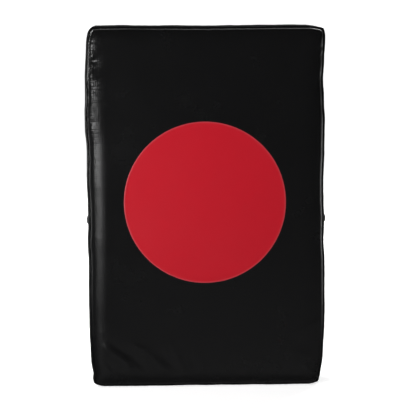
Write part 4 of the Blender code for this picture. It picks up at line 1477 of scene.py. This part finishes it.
def backdrop_material(name, near_light, ramps):
    """Pale to the camera. In the gloss of the vinyl it is dim, and brighter along the ramps."""
    made, tree, shader, place = new_material(name)
    shader.inputs["Base Color"].default_value = (0.8, 0.8, 0.8, 1)
    shader.inputs["Roughness"].default_value = 0.9
    shader.inputs["Specular IOR Level"].default_value = 0.0
    link = tree.links.new
    rays = tree.nodes.new("ShaderNodeLightPath")
    length = tree.nodes.new("ShaderNodeVectorMath")
    length.operation = "LENGTH"
    link(place, length.inputs[0])
    own_light = map_range(tree, length.outputs["Value"], near_light, 1.0, 0.4, 1.6)
    glow = tree.nodes.new("ShaderNodeEmission")
    direct = maths(tree, "MAXIMUM", rays.outputs["Is Camera Ray"], rays.outputs["Is Transmission Ray"])
    link(maths(tree, "MULTIPLY", direct, own_light), glow.inputs["Strength"])
    both = tree.nodes.new("ShaderNodeAddShader")
    link(shader.outputs[0], both.inputs[0])
    link(glow.outputs[0], both.inputs[1])
    spot = parts_of(tree, tree.nodes.new("ShaderNodeNewGeometry").outputs["Position"])
    dim = tree.nodes.new("ShaderNodeEmission")
    gloss = 0.0
    for axis, start, end, low, high in ramps:
        gloss = maths(tree, "ADD", map_range(tree, spot[axis], low, high, start, end), gloss)
    link(maths(tree, "MAXIMUM", gloss, 0.0), dim.inputs["Strength"])
    pick = tree.nodes.new("ShaderNodeMixShader")
    link(rays.outputs["Is Glossy Ray"], pick.inputs[0])
    link(both.outputs[0], pick.inputs[1])
    link(dim.outputs[0], pick.inputs[2])
    link(pick.outputs[0], tree.nodes["Material Output"].inputs["Surface"])
    return made


# How bright the floor and the backdrop are in the gloss: axis, from, to, and the light to add there
FLOOR_GLOSS = [
    ("Y", -2.4, -0.5, 0.05, 0.20), ("Y", -0.34, -0.16, 0.0, 0.05), ("Y", -0.10, -0.07, 0.0, -0.16),
    ("X", -0.20, -0.32, 0.0, -0.26), ("X", -0.5, -0.9, 0.0, 0.10), ("Y", 0.2, 0.8, 0.0, 0.75),
]
BACKDROP_GLOSS = [("Z", 0.7, 1.0, 0.05, 0.4)]
# Lamps: name, place, height that it aims at, size, power
LAMPS = [
    ("left_softbox", (-1.85, -1.85, 0.445), 0.30, (1.2, 0.39), 31),
    ("right_rim", (1.5, 1.3, 0.16), 0.25, (0.3, 0.30), 0.6),
    ("left_rim", (-1.5, 1.3, 0.16), 0.25, (0.3, 0.30), 0.6),
    ("top_light", (0.1, 2.0, 2.2), 0.4, (1.4, 1.0), 3),
    ("back_key", (-1.3, 2.4, 1.6), 0.3, (1.2, 1.2), 75),
    ("back_fill", (1.3, 2.5, 1.9), 0.3, (1.2, 1.2), 45),
    ("front_fill", (-1.2, -2.2, 1.2), 0.3, (1.4, 1.2), 46),
]


def add_stage():
    for name, place, turn, near_light, gloss in (
        ("studio_floor", (0, 0, 0), (0, 0, 0), 0.7, FLOOR_GLOSS),
        ("studio_backdrop", (0, 7, 7), (math.pi / 2, 0, 0), 1.0, BACKDROP_GLOSS),
    ):
        take()
        bpy.ops.mesh.primitive_plane_add(size=14, location=place, rotation=turn)
        sheet = bpy.context.object
        sheet.name = name
        sheet.data.materials.append(backdrop_material(name.replace("_", " "), near_light, gloss))


def add_lamps():
    for name, place, aim, size, power in LAMPS:
        lamp = bpy.data.lights.new(name, "AREA")
        lamp.shape = "RECTANGLE"
        lamp.size, lamp.size_y = size
        lamp.energy = power
        thing = put(name, lamp)
        thing.location = place
        thing.rotation_euler = (Vector((0, 0, aim)) - Vector(place)).to_track_quat("-Z", "Y").to_euler()
        thing.visible_camera = False
        thing.visible_glossy = name != "front_fill"


def add_studio():
    add_stage()
    add_lamps()
    world = bpy.data.worlds.new("studio air")
    bpy.context.scene.world = world
    world.use_nodes = True
    tree = world.node_tree
    air = tree.nodes["Background"]
    rays = tree.nodes.new("ShaderNodeLightPath")
    strength = maths(tree, "MULTIPLY_ADD", rays.outputs["Is Camera Ray"], 0.96, 0.04)
    tree.links.new(strength, air.inputs["Strength"])
    air.inputs["Color"].default_value = (1, 1, 1, 1)
    bpy.context.scene.view_settings.view_transform = "Standard"


def add_camera():
    """The photograph's view: nearly square on, a little from the left and from above."""
    left, above, roll = (math.radians(angle) for angle in (1.6, 6.4, 0.4))
    distance = 3.2
    aim = Vector((-0.001, 0.0, 0.3045))
    away = Vector((-math.sin(left) * math.cos(above), -math.cos(left) * math.cos(above), math.sin(above)))
    lens = bpy.data.cameras.new("photo_camera")
    lens.lens = 165.5
    lens.sensor_width = 36
    lens.clip_end = 50
    camera = put("photo_camera", lens)
    camera.location = aim + distance * away
    turn = (-away).to_track_quat("-Z", "Y").to_matrix().to_4x4()
    camera.rotation_euler = (turn @ Matrix.Rotation(-roll, 4, "Z")).to_euler()
    bpy.context.scene.camera = camera


add_camera()
face = add_face()
add_target(face)
add_boxings()
add_piping("piping_bead_front", FRONT_SEAM, 21, "piping_front")
add_piping("piping_bead_back", BACK_SEAM, 24, "piping_back")
add_window_stitches(*add_backs())
add_fillings()
add_tapes()
add_teeth()
add_zip_metal()
add_handles()
add_studio()
